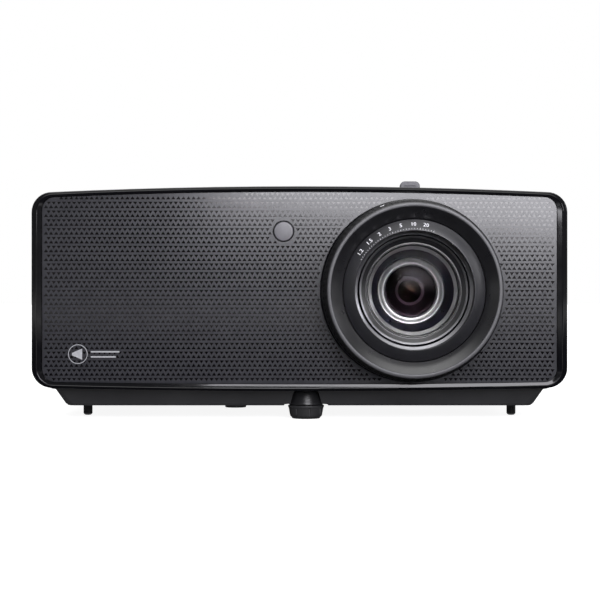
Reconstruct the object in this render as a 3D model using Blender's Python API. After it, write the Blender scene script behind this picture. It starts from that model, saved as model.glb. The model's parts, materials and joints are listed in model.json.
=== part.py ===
"""Home projector with a large front lens: shells, lens, optical engine, feet, keys and fans.

The front faces -Y, up is +Z and the floor is z = 0, midway along the width and the depth.
Sizes below are in millimetres; `finish_object` turns them into metres once.
"""

import math

import bmesh
import bpy
from mathutils import Matrix, Vector

MM = 0.001
GAP = 0.3  # clearance between neighbouring pieces

# Overall
HALF_WIDTH = 200.0
FRONT_Y = -142.0  # front edge of the bezel
BEZEL_BACK_Y = -128.0
SHELL_BACK_Y = 170.0
REAR_Y = 178.0
WALL = 2.5

# Lens axis and screw feet
LENS_X = 83.7
LENS_Z = 97.1
FRONT_FOOT = (5.0, -114.0)
REAR_FOOT_X = 150.0
REAR_FOOT_Y = 140.0
PEG_X = 166.0
PEG_Y = -78.0
PEG_RADIUS = 3.5

# Shell levels
PARTING_Z = 60.0
BASE_Z = 10.1
LEDGE_Z = 23.0
SHELL_CORNER = 15.0

# Round piece resolution
LENS_SIDES = 40
INNER_SIDES = 28
SMALL_SIDES = 24
CORNER_STEPS = 4
CROWN_STEPS = 6

FINISHES = {
    "gloss_black_abs": ("#0b0b0d", 0.12, 0.0),
    "dimpled_panel_abs": ("#3f3f45", 0.35, 0.0),
    "satin_black_abs": ("#1d1d1f", 0.45, 0.0),
    "smoke_window_pc": ("#97969b", 0.3, 0.0),
    "black_anodised": ("#131315", 0.35, 0.6),
    "satin_lens_ring": ("#2b2b30", 0.4, 0.2),
    "bright_aluminium": ("#b9bbc0", 0.25, 1.0),
    "coated_glass": ("#231c30", 0.05, 0.0),
    "optical_glass": ("#d8dde6", 0.03, 0.0),
    "rubber": ("#151515", 0.85, 0.0),
    "zinc_steel": ("#a4a6a8", 0.35, 1.0),
    "key_grey_abs": ("#3a3a3e", 0.5, 0.0),
    "light_guide_pc": ("#c9d4dc", 0.3, 0.0),
    "port_steel": ("#8d8f92", 0.3, 1.0),
    "port_nylon": ("#141416", 0.6, 0.0),
    "circuit_board": ("#1f4a33", 0.5, 0.0),
    "cast_magnesium": ("#7d7f82", 0.5, 0.8),
    "phosphor_disc": ("#d8c24a", 0.5, 0.0),
}


def clear_scene():
    """Remove every object that the scene starts with."""
    for found in list(bpy.data.objects):
        bpy.data.objects.remove(found, do_unlink=True)


def material(key):
    """The Principled material for one finish, made on first use."""
    found = bpy.data.materials.get(key)
    if found:
        return found
    colour, roughness, metallic = FINISHES[key]
    made = bpy.data.materials.new(key)
    made.use_nodes = True
    shader = made.node_tree.nodes["Principled BSDF"]
    parts = [int(colour[i : i + 2], 16) / 255 for i in (1, 3, 5)]
    linear = [p / 12.92 if p <= 0.04045 else ((p + 0.055) / 1.055) ** 2.4 for p in parts]
    shader.inputs["Base Color"].default_value = (*linear, 1.0)
    shader.inputs["Roughness"].default_value = roughness
    shader.inputs["Metallic"].default_value = metallic
    return made


def finish_object(name, bm, finish, pivot=(0.0, 0.0, 0.0)):
    """Turn a millimetre bmesh into a named object whose origin is at the pivot, in metres."""
    bmesh.ops.recalc_face_normals(bm, faces=bm.faces)
    bmesh.ops.translate(bm, verts=bm.verts, vec=-Vector(pivot))
    bmesh.ops.scale(bm, verts=bm.verts, vec=(MM, MM, MM))
    mesh = bpy.data.meshes.new(name)
    bm.to_mesh(mesh)
    bm.free()
    mesh.shade_smooth()
    mesh.set_sharp_from_angle(angle=math.radians(30))
    made = bpy.data.objects.new(name, mesh)
    made.location = Vector(pivot) * MM
    bpy.context.collection.objects.link(made)
    if finish:
        mesh.materials.append(material(finish))
    return made


def add_box(bm, low, high):
    """Add one box to a bmesh and return its vertices."""
    size = [h - l for l, h in zip(low, high)]
    centre = [(h + l) / 2 for l, h in zip(low, high)]
    place = Matrix.Translation(centre) @ Matrix.Diagonal((*size, 1.0))
    return bmesh.ops.create_cube(bm, size=1.0, matrix=place)["verts"]


def box(name, low, high, finish, bevel=0.0, pivot=(0.0, 0.0, 0.0)):
    """A box, with all its edges bevelled where a bevel is given."""
    bm = bmesh.new()
    add_box(bm, low, high)
    if bevel:
        bmesh.ops.bevel(bm, geom=bm.edges, offset=bevel, segments=1, affect="EDGES")
    return finish_object(name, bm, finish, pivot)


def frustum(name, centre, radii, levels, finish, sides=SMALL_SIDES):
    """An upright cone frustum: radii and levels are those of its bottom and top."""
    bm = bmesh.new()
    middle = (centre[0], centre[1], (levels[0] + levels[1]) / 2)
    bmesh.ops.create_cone(
        bm,
        cap_ends=True,
        segments=sides,
        radius1=radii[0],
        radius2=radii[1],
        depth=levels[1] - levels[0],
        matrix=Matrix.Translation(middle),
    )
    return finish_object(name, bm, finish)


def turned(name, axis, centre, profile, finish, sides=INNER_SIDES):
    """Spin a profile of (radius, place along the axis) points about an axis through centre.

    A profile that starts and ends on the axis makes a solid; any other is closed into a ring.
    """
    along = Vector([1.0 if letter == axis else 0.0 for letter in "XYZ"])
    across = Vector((0.0, 1.0, 0.0)) if axis == "X" else Vector((1.0, 0.0, 0.0))
    base = Vector(centre)
    base -= along * base.dot(along)
    bm = bmesh.new()
    points = [bm.verts.new(base + across * r + along * h) for r, h in profile]
    edges = [bm.edges.new(pair) for pair in zip(points, points[1:])]
    if profile[0][0] > 0.0 or profile[-1][0] > 0.0:
        edges.append(bm.edges.new((points[-1], points[0])))
    bmesh.ops.spin(
        bm,
        geom=points + edges,
        cent=base,
        axis=along,
        angle=math.tau,
        steps=sides,
        use_merge=True,
    )
    bmesh.ops.remove_doubles(bm, verts=bm.verts, dist=0.001)
    return finish_object(name, bm, finish, tuple(centre))


def lens_ring(name, profile, finish, sides=INNER_SIDES):
    """A piece turned about the lens axis, its profile given as (radius, y) points."""
    return turned(name, "Y", (LENS_X, 0.0, LENS_Z), profile, finish, sides)


def prism(name, axis, outline, low, high, finish, pivot=(0.0, 0.0, 0.0)):
    """Extrude a flat outline along an axis; its points are (x, z), (x, y) or (y, z)."""

    def place(u, v, level):
        return {"Y": (u, level, v), "Z": (u, v, level), "X": (level, u, v)}[axis]

    bm = bmesh.new()
    face = bm.faces.new([bm.verts.new(place(u, v, low)) for u, v in outline])
    made = bmesh.ops.extrude_face_region(bm, geom=[face])["geom"]
    moved = [part for part in made if isinstance(part, bmesh.types.BMVert)]
    bmesh.ops.translate(bm, verts=moved, vec=Vector(place(0.0, 0.0, high - low)))
    return finish_object(name, bm, finish, pivot)


def loft(name, loops, finish, closed=False, pivot=(0.0, 0.0, 0.0)):
    """Skin loops of equal length one after another; closed joins the last to the first."""
    bm = bmesh.new()
    rings = [[bm.verts.new(point) for point in loop] for loop in loops]
    following = rings[1:] + rings[:1] if closed else rings[1:]
    for ring, after in zip(rings, following):
        count = len(ring)
        for i in range(count):
            j = (i + 1) % count
            bm.faces.new((ring[i], ring[j], after[j], after[i]))
    if not closed:
        bm.faces.new(rings[0])
        bm.faces.new(rings[-1])
    return finish_object(name, bm, finish, pivot)


def combine(target, tool, operation="DIFFERENCE"):
    """Cut the tool from the target, or add it, by an exact Boolean with the tool hidden."""
    tool.hide_render = True
    tool.display_type = "WIRE"
    change = target.modifiers.new(tool.name, "BOOLEAN")
    change.operation = operation
    change.solver = "EXACT"
    change.object = tool


def cut_box(target, label, low, high):
    """Cut a box from the target."""
    combine(target, box(f"cut_{label}", low, high, None))


def cut_round(target, label, axis, centre, radius, low, high, sides=INNER_SIDES):
    """Cut a cylinder along an axis from the target."""
    profile = [(0.0, high), (radius, high), (radius, low), (0.0, low)]
    combine(target, turned(f"cut_{label}", axis, centre, profile, None, sides))


def arc(centre, radius, start, stop, steps=CORNER_STEPS):
    """Points on an arc between two angles in degrees, both ends included."""
    angles = [math.radians(start + (stop - start) * i / steps) for i in range(steps + 1)]
    return [(centre[0] + radius * math.cos(a), centre[1] + radius * math.sin(a)) for a in angles]


def crowned_outline(half, bottom, top, corner, drop, rise):
    """The shell's section: round corners, the top falling and the bottom rising to the sides."""
    flat = half - corner
    steps = [1 - 2 * i / CROWN_STEPS for i in range(1, CROWN_STEPS)]
    low, high = bottom + rise + corner, top - drop - corner
    points = arc((flat, low), corner, -90, 0) + arc((flat, high), corner, 0, 90)
    points += [(flat * s, top - drop * s * s) for s in steps]
    points += arc((-flat, high), corner, 90, 180) + arc((-flat, low), corner, 180, 270)
    points += [(-flat * s, bottom + rise * s * s) for s in steps]
    return points


def at_depth(outline, y):
    """Lay an (x, z) outline in the plane at y."""
    return [(x, y, z) for x, z in outline]


# Sections of the shell: half width, bottom, top, corner radius, fall and rise of the crown
BEZEL_OUTER = (HALF_WIDTH, 22.1, 175.0, SHELL_CORNER, 4.3, 2.4)
BEZEL_SHOULDER = (198.9, 22.7, 174.4, 14.2, 4.3, 2.4)
BEZEL_RIDGE = (196.1, 23.6, 173.0, 12.6, 4.3, 2.4)
BEZEL_RIM = (195.5, 24.1, 172.5, 12.2, 4.3, 2.4)
PANEL_SEAT = (192.3, 27.1, 171.0, 9.8, 3.9, 1.6)
PANEL_EDGE = (192.0, 27.4, 170.7, 9.5, 3.9, 1.6)
SHELL_OUTER = (199.2, 22.9, 174.3, 14.6, 4.3, 2.4)
SHELL_INNER = (199.2 - WALL, 22.9 + WALL, 174.3 - WALL, 12.1, 4.3, 2.4)
REAR_OUTER = (198.9, 23.2, 174.0, 14.4, 4.3, 2.4)
REAR_EDGE = (197.4, 24.7, 172.5, 13.0, 4.3, 2.4)

PANEL_FRONT_Y = -140.3
PANEL_BACK_Y = -137.3


def build_front_bezel():
    """Gloss frame round the front: a rounded shoulder up to a fine ridge, then in to the panel."""
    loops = [
        at_depth(crowned_outline(*BEZEL_OUTER), BEZEL_BACK_Y),
        at_depth(crowned_outline(*BEZEL_OUTER), FRONT_Y + 5.0),
        at_depth(crowned_outline(*BEZEL_SHOULDER), FRONT_Y + 2.0),
        at_depth(crowned_outline(*BEZEL_RIDGE), FRONT_Y),
        at_depth(crowned_outline(*BEZEL_RIM), FRONT_Y),
        at_depth(crowned_outline(*PANEL_SEAT), PANEL_FRONT_Y + 0.4),
        at_depth(crowned_outline(*PANEL_SEAT), BEZEL_BACK_Y),
    ]
    loft("front_bezel", loops, "gloss_black_abs", closed=True)


IR_X = -11.8
IR_Z = 141.4
IR_RADIUS = 7.8
LENS_BEZEL_RADIUS = 68.2


def build_front_panel():
    """Plate inside the frame, open for the lens and for the remote-control window."""
    panel = prism(
        "front_panel",
        "Y",
        crowned_outline(*PANEL_EDGE),
        PANEL_FRONT_Y,
        PANEL_BACK_Y,
        "dimpled_panel_abs",
    )
    before, behind = FRONT_Y, PANEL_BACK_Y + 2.0
    lens = (LENS_X, 0.0, LENS_Z)
    cut_round(panel, "lens", "Y", lens, LENS_BEZEL_RADIUS + GAP, before, behind, LENS_SIDES)
    ir = (IR_X, 0.0, IR_Z)
    cut_round(panel, "ir", "Y", ir, IR_RADIUS + GAP, before, behind, SMALL_SIDES)
    window = [
        (0.0, PANEL_FRONT_Y - 0.9),
        (IR_RADIUS - 1.0, PANEL_FRONT_Y - 0.7),
        (IR_RADIUS, PANEL_FRONT_Y),
        (IR_RADIUS, PANEL_BACK_Y + 3.0),
        (0.0, PANEL_BACK_Y + 3.0),
    ]
    turned("ir_window", "Y", ir, window, "smoke_window_pc", SMALL_SIDES)


# Side grilles: a window in each side wall filled by a slotted plate
GRILLE_Y = (-70.0, 100.0)
GRILLE_Z = (68.0, 150.0)
GRILLE_SLOTS = 20
SLOT_WIDTH = 3.2
SLOT_MARGIN = 7.0
GRILLE_THICKNESS = 2.1

# Keypad opening in the top
KEYPAD_X = (-46.0, 46.0)
KEYPAD_Y = (66.0, 112.0)

# Lever slot in the top
LEVER_Y = (-123.0, -116.0)
LEVER_SLOT_HALF = 20.0


def build_top_cover():
    """Upper shell: a crowned tube open below, with the lever slot, keypad and grille windows."""
    front, back = BEZEL_BACK_Y + GAP, SHELL_BACK_Y
    loops = [
        at_depth(crowned_outline(*SHELL_OUTER), front),
        at_depth(crowned_outline(*SHELL_OUTER), back),
        at_depth(crowned_outline(*SHELL_INNER), back),
        at_depth(crowned_outline(*SHELL_INNER), front),
    ]
    cover = loft("top_cover", loops, "satin_black_abs", closed=True)
    far = HALF_WIDTH + 5.0
    cut_box(cover, "below", (-far, front - 5.0, 0.0), (far, back + 5.0, PARTING_Z))
    cut_box(
        cover,
        "lever_slot",
        (LENS_X - LEVER_SLOT_HALF, LEVER_Y[0] - 1.0, 165.0),
        (LENS_X + LEVER_SLOT_HALF, LEVER_Y[1] + 1.0, 180.0),
    )
    cut_box(
        cover,
        "keypad",
        (KEYPAD_X[0], KEYPAD_Y[0], 165.0),
        (KEYPAD_X[1], KEYPAD_Y[1], 180.0),
    )
    for side, label in ((-1, "intake"), (1, "exhaust")):
        inner, outer = sorted((side * 190.0, side * 205.0))
        low = (inner, GRILLE_Y[0], GRILLE_Z[0])
        high = (outer, GRILLE_Y[1], GRILLE_Z[1])
        cut_box(cover, f"{label}_window", low, high)


def build_grille(name, side):
    """Slotted plate that fills one side window."""
    outer = side * (SHELL_OUTER[0] - 0.2)
    inner = outer - side * GRILLE_THICKNESS
    left, right = sorted((inner, outer))
    low = (left, GRILLE_Y[0] + GAP, GRILLE_Z[0] + GAP)
    high = (right, GRILLE_Y[1] - GAP, GRILLE_Z[1] - GAP)
    plate = box(name, low, high, "satin_black_abs")
    pitch = (GRILLE_Y[1] - GRILLE_Y[0] - 2 * SLOT_MARGIN) / GRILLE_SLOTS
    bm = bmesh.new()
    for i in range(GRILLE_SLOTS):
        y = GRILLE_Y[0] + SLOT_MARGIN + pitch * (i + 0.5)
        add_box(
            bm,
            (left - 1.0, y - SLOT_WIDTH / 2, GRILLE_Z[0] + SLOT_MARGIN),
            (right + 1.0, y + SLOT_WIDTH / 2, GRILLE_Z[1] - SLOT_MARGIN),
        )
    combine(plate, finish_object(f"cut_{name}", bm, None))


def tray_loop(half, front, back, corner, z):
    """A rectangle with small round corners at one level of the tray."""
    flat = half - corner
    points = arc((flat, back - corner), corner, 0, 90, 2)
    points += arc((-flat, back - corner), corner, 90, 180, 2)
    points += arc((-flat, front + corner), corner, 180, 270, 2)
    points += arc((flat, front + corner), corner, 270, 360, 2)
    return [(x, y, z) for x, y in points]


PAN_TOP_HALF = 184.6
PAN_BOTTOM_HALF = 177.4
MOUNT_BOSSES = ((-50.0, -80.0), (-110.0, 95.0), (80.0, 60.0))
BOSS_RADII = (8.0, 9.2)
BOSS_FACE_Z = 6.2
BOSS_BORE = 2.1
COLLAR_CLEARANCE = 14.2
LENS_NOTCH_RADIUS = 57.0
WELL_RADIUS = 18.0


def build_bottom_case():
    """Lower tray: rounded flanks down to a ledge, then the narrower leaning base pan."""
    front, back = BEZEL_BACK_Y + GAP, SHELL_BACK_Y
    top = PARTING_Z - GAP
    centre = (SHELL_OUTER[0] - SHELL_CORNER, LEDGE_Z + SHELL_CORNER)
    outside = [(SHELL_OUTER[0], top, front, back, 1.0)]
    outside += [(x, z, front, back, 1.0) for x, z in arc(centre, SHELL_CORNER, 0, -80)]
    outside += [
        (PAN_TOP_HALF, LEDGE_Z - 0.3, front + 2.2, back - 2.0, 3.0),
        (PAN_BOTTOM_HALF + 0.6, BASE_Z + 1.6, front + 6.0, back - 6.0, 6.0),
        (PAN_BOTTOM_HALF - 1.2, BASE_Z, front + 7.4, back - 7.4, 6.0),
    ]
    inset = WALL
    inside = [
        (PAN_BOTTOM_HALF - 2.6, BASE_Z + WALL, front + 9.0, back - 9.0, 4.0),
        (PAN_TOP_HALF - inset, LEDGE_Z + WALL - 0.4, front + 5.2, back - 5.0, 2.0),
    ]
    inner_arc = arc(centre, SHELL_CORNER - WALL, -80, 0)
    inside += [(x, z, front + WALL, back - WALL, 1.0) for x, z in inner_arc]
    inside += [(SHELL_OUTER[0] - WALL, top, front + WALL, back - WALL, 1.0)]
    stages = outside[::-1] + inside[::-1]
    loops = [tray_loop(half, y0, y1, r, z) for half, z, y0, y1, r in stages]
    tray = loft("bottom_case", loops, "satin_black_abs")

    for i, place in enumerate(MOUNT_BOSSES):
        boss = frustum(f"add_boss_{i}", place, BOSS_RADII, (BOSS_FACE_Z, BASE_Z + 1.0), None)
        combine(tray, boss, "UNION")
    for i, (x, y) in enumerate(MOUNT_BOSSES):
        cut_round(tray, f"boss_bore_{i}", "Z", (x, y, 0.0), BOSS_BORE, 4.0, 16.0, 12)
    foot = (*FRONT_FOOT, 0.0)
    cut_round(tray, "foot_well", "Z", foot, WELL_RADIUS, 5.0, BASE_Z + 1.3, SMALL_SIDES)
    cut_round(tray, "foot_hole", "Z", foot, COLLAR_CLEARANCE, 5.0, 21.3, SMALL_SIDES)
    for side in (-1, 1):
        rear = (side * REAR_FOOT_X, REAR_FOOT_Y, 0.0)
        peg = (side * PEG_X, PEG_Y, 0.0)
        cut_round(tray, f"rear_foot_{side}", "Z", rear, REAR_SCREW_RADIUS + GAP, 5.0, 16.0, 16)
        cut_round(tray, f"peg_{side}", "Z", peg, PEG_RADIUS + GAP, 5.0, 16.0, 16)
    lens = (LENS_X, 0.0, LENS_Z)
    cut_round(tray, "lens_notch", "Y", lens, LENS_NOTCH_RADIUS, front - 4.0, front + 9.0)
    inlet_half = INLET_SIZE[0] / 2 + GAP
    inlet_low = INLET_Z - INLET_SIZE[1] / 2 - GAP
    bays = ((*POCKET_X, BOARD_Z - GAP), (INLET_X - inlet_half, INLET_X + inlet_half, inlet_low))
    for i, (left, right, low) in enumerate(bays):
        cut_box(tray, f"bay_{i}", (left, back - 6.0, low), (right, back + 5.0, top + 9.0))


# Screw feet
FRONT_SCREW_RADIUS = 4.0
REAR_SCREW_RADIUS = 3.0
COLLAR_Z = (10.6, 20.8)
KNOB_TOP_Z = 10.2
GROOVES = 8


def build_front_foot():
    """Glossy collar, grooved knob with its screw, and the pad that stands on the table."""
    x, y = FRONT_FOOT
    centre = (x, y, 0.0)
    bore = FRONT_SCREW_RADIUS + GAP
    collar = [(bore, 10.6), (13.0, 10.6), (12.9, 11.4), (10.4, 20.8), (bore, 20.8)]
    turned("front_foot_collar", "Z", centre, collar, "gloss_black_abs")
    pad = [(0.0, 0.9), (10.9, 0.9), (10.2, 0.0), (0.0, 0.0)]
    turned("front_foot_pad", "Z", centre, pad, "rubber")
    knob = [
        (0.0, 5.6),
        (bore, 5.6),
        (bore, KNOB_TOP_Z),
        (13.4, KNOB_TOP_Z),
        (13.75, 9.8),
        (12.3, 3.0),
        (11.9, 1.8),
        (11.2, 1.2),
        (0.0, 1.2),
    ]
    body = turned("front_foot_knob", "Z", centre, knob, "satin_black_abs")
    lean = math.atan2(13.75 - 12.3, 9.8 - 3.0)
    bm = bmesh.new()
    for i in range(GROOVES):
        turn = Matrix.Rotation(math.tau * (i + 0.25) / GROOVES, 4, "Z")
        tilt = Matrix.Rotation(lean, 4, "Y")
        place = Matrix.Translation((x, y, 0.0)) @ turn @ Matrix.Translation((12.95, 0.0, 4.6))
        bmesh.ops.create_cone(
            bm,
            cap_ends=True,
            segments=8,
            radius1=0.9,
            radius2=0.9,
            depth=8.4,
            matrix=place @ tilt,
        )
    combine(body, finish_object("cut_knob_grooves", bm, None))
    screw = [(0.0, 46.0), (3.2, 46.0), (4.0, 45.2), (4.0, 6.0), (0.0, 6.0)]
    turned("front_foot_screw", "Z", centre, screw, "zinc_steel", 16)


def build_rear_foot(side_name, side):
    """Rear levelling foot: a knob with its own stud, over a thin pad."""
    centre = (side * REAR_FOOT_X, REAR_FOOT_Y, 0.0)
    pad = [(0.0, 0.9), (8.6, 0.9), (8.2, 0.0), (0.0, 0.0)]
    turned(f"rear_{side_name}_foot_pad", "Z", centre, pad, "rubber", SMALL_SIDES)
    stud = REAR_SCREW_RADIUS
    knob = [
        (0.0, 30.0),
        (2.4, 30.0),
        (stud, 29.4),
        (stud, 9.7),
        (9.6, 9.7),
        (10.0, 9.2),
        (9.4, 2.0),
        (8.8, 1.2),
        (0.0, 1.2),
    ]
    turned(f"rear_{side_name}_foot_knob", "Z", centre, knob, "satin_black_abs", SMALL_SIDES)


def build_steady_peg(side_name, side):
    """Round-ended peg beside the front foot, fixed through the base pan."""
    tip = PEG_RADIUS
    rounding = [(tip * math.sin(a), tip - tip * math.cos(a)) for a in (1.57, 1.1, 0.7, 0.35)]
    profile = [(0.0, 21.0), (tip, 21.0), *rounding, (0.0, 0.0)]
    centre = (side * PEG_X, PEG_Y, 0.0)
    turned(f"steady_peg_{side_name}", "Z", centre, profile, "gloss_black_abs", 16)


# Connectors in the rear pocket: name, centre x, centre z, outer width and height
POCKET_X = (-165.0, 30.0)
POCKET_Z = (44.0, 90.0)
POCKET_FLOOR_Y = 174.0
BOARD_Z = 52.0
PORT_FRONT_Y = 160.0
PORT_BACK_Y = 174.8
PORT_WALL = 1.0
HDMI_SIZE = (15.0, 5.9)
USB_SIZE = (14.0, 6.9)
LAN_SIZE = (16.0, 13.4)
HDMI_X = (-20.0, -48.0)
USB_X = -76.0
LAN_X = -108.0
INLET_X = 150.0
INLET_Z = 62.0
INLET_SIZE = (29.0, 21.0)
INLET_MOUTH = (24.0, 16.5)


def port_z(height):
    """Middle height of a socket that sits on the main board."""
    return BOARD_Z + GAP + height / 2


def build_port(name, x, size, mouth, depth, finish):
    """One socket: a shell on the main board with its mouth to the rear."""
    width, height = size
    z = port_z(height)
    low = (x - width / 2, PORT_FRONT_Y, z - height / 2)
    high = (x + width / 2, PORT_BACK_Y, z + height / 2)
    shell = box(name, low, high, finish)
    half_x, half_z = mouth[0] / 2, mouth[1] / 2
    cut_box(
        shell,
        f"{name}_mouth",
        (x - half_x, PORT_BACK_Y - depth, z - half_z),
        (x + half_x, PORT_BACK_Y + 3.0, z + half_z),
    )
    return shell


def build_ports():
    """The signal sockets and the mains inlet."""
    slim = HDMI_SIZE[1] - 2 * PORT_WALL
    for i, x in enumerate(HDMI_X, start=1):
        build_port(f"hdmi_port_{i}", x, HDMI_SIZE, (13.0, slim), 9.0, "port_steel")
    usb = build_port("usb_port", USB_X, USB_SIZE, (12.0, 4.9), 10.0, "port_steel")
    tongue_z = port_z(USB_SIZE[1]) + 1.0
    tongue = box(
        "add_usb_tongue",
        (USB_X - 5.2, PORT_BACK_Y - 11.0, tongue_z),
        (USB_X + 5.2, PORT_BACK_Y - 0.8, tongue_z + 1.2),
        None,
    )
    combine(usb, tongue, "UNION")
    build_port("lan_port", LAN_X, LAN_SIZE, (12.0, 9.0), 12.0, "port_steel")

    half_x, half_z = INLET_SIZE[0] / 2, INLET_SIZE[1] / 2
    low = (INLET_X - half_x, 158.0, INLET_Z - half_z)
    high = (INLET_X + half_x, REAR_Y - 0.2, INLET_Z + half_z)
    inlet = box("power_inlet", low, high, "port_nylon")
    half_x, half_z = INLET_MOUTH[0] / 2, INLET_MOUTH[1] / 2
    low = (INLET_X - half_x, 162.0, INLET_Z - half_z)
    high = (INLET_X + half_x, REAR_Y + 4.0, INLET_Z + half_z)
    cut_box(inlet, "inlet_mouth", low, high)


def build_rear_panel():
    """Back plate with a shallow pocket for the sockets and a hole for the mains inlet."""
    loops = [
        at_depth(crowned_outline(*REAR_OUTER), SHELL_BACK_Y + GAP),
        at_depth(crowned_outline(*REAR_OUTER), REAR_Y - 1.5),
        at_depth(crowned_outline(*REAR_EDGE), REAR_Y),
    ]
    panel = loft("rear_panel", loops, "satin_black_abs")
    cut_box(
        panel,
        "pocket",
        (POCKET_X[0], POCKET_FLOOR_Y, POCKET_Z[0]),
        (POCKET_X[1], REAR_Y + 4.0, POCKET_Z[1]),
    )
    holes = [(x, port_z(HDMI_SIZE[1]), HDMI_SIZE) for x in HDMI_X]
    holes.append((USB_X, port_z(USB_SIZE[1]), USB_SIZE))
    holes.append((LAN_X, port_z(LAN_SIZE[1]), LAN_SIZE))
    holes.append((INLET_X, INLET_Z, INLET_SIZE))
    for i, (x, z, (width, height)) in enumerate(holes):
        half_x, half_z = width / 2 + GAP, height / 2 + GAP
        low = (x - half_x, SHELL_BACK_Y - 4.0, z - half_z)
        high = (x + half_x, REAR_Y + 5.0, z + half_z)
        cut_box(panel, f"socket_{i}", low, high)


# Keys: centre x, centre y, width, depth; a round key gives one radius
KEY_TOP_Z = 176.0
KEY_BOTTOM_Z = 170.2
KEYPAD_Z = (171.2, 174.9)
KEY_GAP = 0.35
ROUND_KEYS = {"power": (-33.0, 99.0, 5.6), "enter": (6.0, 89.0, 6.0)}
SQUARE_KEYS = {
    "menu": (-33.0, 79.0, 12.0, 7.0),
    "source": (37.0, 99.0, 11.0, 7.0),
    "up": (6.0, 103.0, 12.0, 6.0),
    "down": (6.0, 75.0, 12.0, 6.0),
    "left": (-10.0, 89.0, 6.0, 12.0),
    "right": (22.0, 89.0, 6.0, 12.0),
}
STATUS_LIGHT = (37.0, 79.0, 10.0, 2.6)


def build_keypad():
    """Plate in the top with eight keys and a light bar, each in its own hole."""
    low = (KEYPAD_X[0] + GAP, KEYPAD_Y[0] + GAP, KEYPAD_Z[0])
    high = (KEYPAD_X[1] - GAP, KEYPAD_Y[1] - GAP, KEYPAD_Z[1])
    plate = box("keypad_bezel", low, high, "gloss_black_abs")
    bottom, top = KEYPAD_Z[0] - 3.0, KEYPAD_Z[1] + 3.0
    for name, (x, y, radius) in ROUND_KEYS.items():
        key = [
            (0.0, KEY_TOP_Z),
            (radius - 0.8, KEY_TOP_Z),
            (radius, KEY_TOP_Z - 0.6),
            (radius, KEY_BOTTOM_Z),
            (0.0, KEY_BOTTOM_Z),
        ]
        turned(f"button_{name}", "Z", (x, y, 0.0), key, "key_grey_abs", SMALL_SIDES)
        hole = radius + KEY_GAP
        cut_round(plate, f"{name}_hole", "Z", (x, y, 0.0), hole, bottom, top, SMALL_SIDES)
    for name, (x, y, width, depth) in SQUARE_KEYS.items():
        low = (x - width / 2, y - depth / 2, KEY_BOTTOM_Z)
        high = (x + width / 2, y + depth / 2, KEY_TOP_Z)
        box(f"button_{name}", low, high, "key_grey_abs", 0.7, (x, y, KEY_BOTTOM_Z))
    x, y, width, depth = STATUS_LIGHT
    low = (x - width / 2, y - depth / 2, KEYPAD_Z[0])
    high = (x + width / 2, y + depth / 2, KEYPAD_Z[1] + 0.1)
    box("status_light", low, high, "light_guide_pc", 0.2)
    holes = bmesh.new()
    for x, y, width, depth in (*SQUARE_KEYS.values(), STATUS_LIGHT):
        half_x, half_y = width / 2 + KEY_GAP, depth / 2 + KEY_GAP
        add_box(holes, (x - half_x, y - half_y, bottom), (x + half_x, y + half_y, top))
    combine(plate, finish_object("cut_key_holes", holes, None))


# Lens: radii from the axis and places along Y, front first
RIM_Y = -178.0
BARREL_RADIUS = 46.0
BARREL_BORE = 41.0


def build_lens_rings():
    """Fixed ring, turning focus ring and the lettered cone inside it."""
    fixed = [
        (LENS_BEZEL_RADIUS, BEZEL_BACK_Y),
        (LENS_BEZEL_RADIUS, -145.5),
        (67.4, -149.0),
        (65.0, -149.0),
        (62.0, -146.0),
        (62.0, -136.0),
        (BARREL_RADIUS + 0.5, -136.0),
        (BARREL_RADIUS + 0.5, -132.0),
        (62.0, -132.0),
        (62.0, BEZEL_BACK_Y),
    ]
    lens_ring("lens_bezel", fixed, "gloss_black_abs", LENS_SIDES)
    focus = [
        (67.2, -149.4),
        (66.6, -153.0),
        (64.0, -176.8),
        (63.3, RIM_Y),
        (61.2, RIM_Y),
        (60.7, -177.3),
        (52.4, -168.0),
        (52.4, -164.6),
        (BARREL_RADIUS + 0.6, -164.6),
        (BARREL_RADIUS + 0.6, -140.0),
        (50.0, -140.0),
        (50.0, -161.0),
        (60.2, -172.0),
        (62.0, -172.0),
        (64.4, -152.0),
        (64.4, -149.4),
    ]
    lens_ring("focus_ring", focus, "black_anodised", LENS_SIDES)
    lettered = [
        (52.0, -167.6),
        (51.7, -168.2),
        (43.8, -172.4),
        (43.4, -172.0),
        (43.4, -165.0),
        (52.0, -165.0),
    ]
    lens_ring("lens_name_ring", lettered, "satin_lens_ring", LENS_SIDES)


def build_lens_barrel():
    """Fixed barrel with its flange, and the rear glass in its tail."""
    barrel = [
        (BARREL_RADIUS, -152.0),
        (BARREL_RADIUS, -30.0),
        (56.0, -30.0),
        (56.0, -22.3),
        (44.4, -22.3),
        (44.4, -4.0),
        (17.0, -4.0),
        (17.0, -12.0),
        (BARREL_BORE, -12.0),
        (BARREL_BORE, -152.0),
    ]
    lens_ring("lens_barrel", barrel, "black_anodised")
    rear = [(0.0, -11.4), (10.0, -10.8), (16.7, -9.0), (16.7, -5.0), (0.0, -5.0)]
    lens_ring("rear_lens_glass", rear, "optical_glass", SMALL_SIDES)


def sagged(radius, vertex, curvature):
    """Y of a glass surface at a radius, for a vertex place and a radius of curvature."""
    return vertex + radius * radius / (2 * curvature)


FRONT_GLASS_RADIUS = 33.4
FRONT_GLASS_CURVATURE = 120.0


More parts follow.
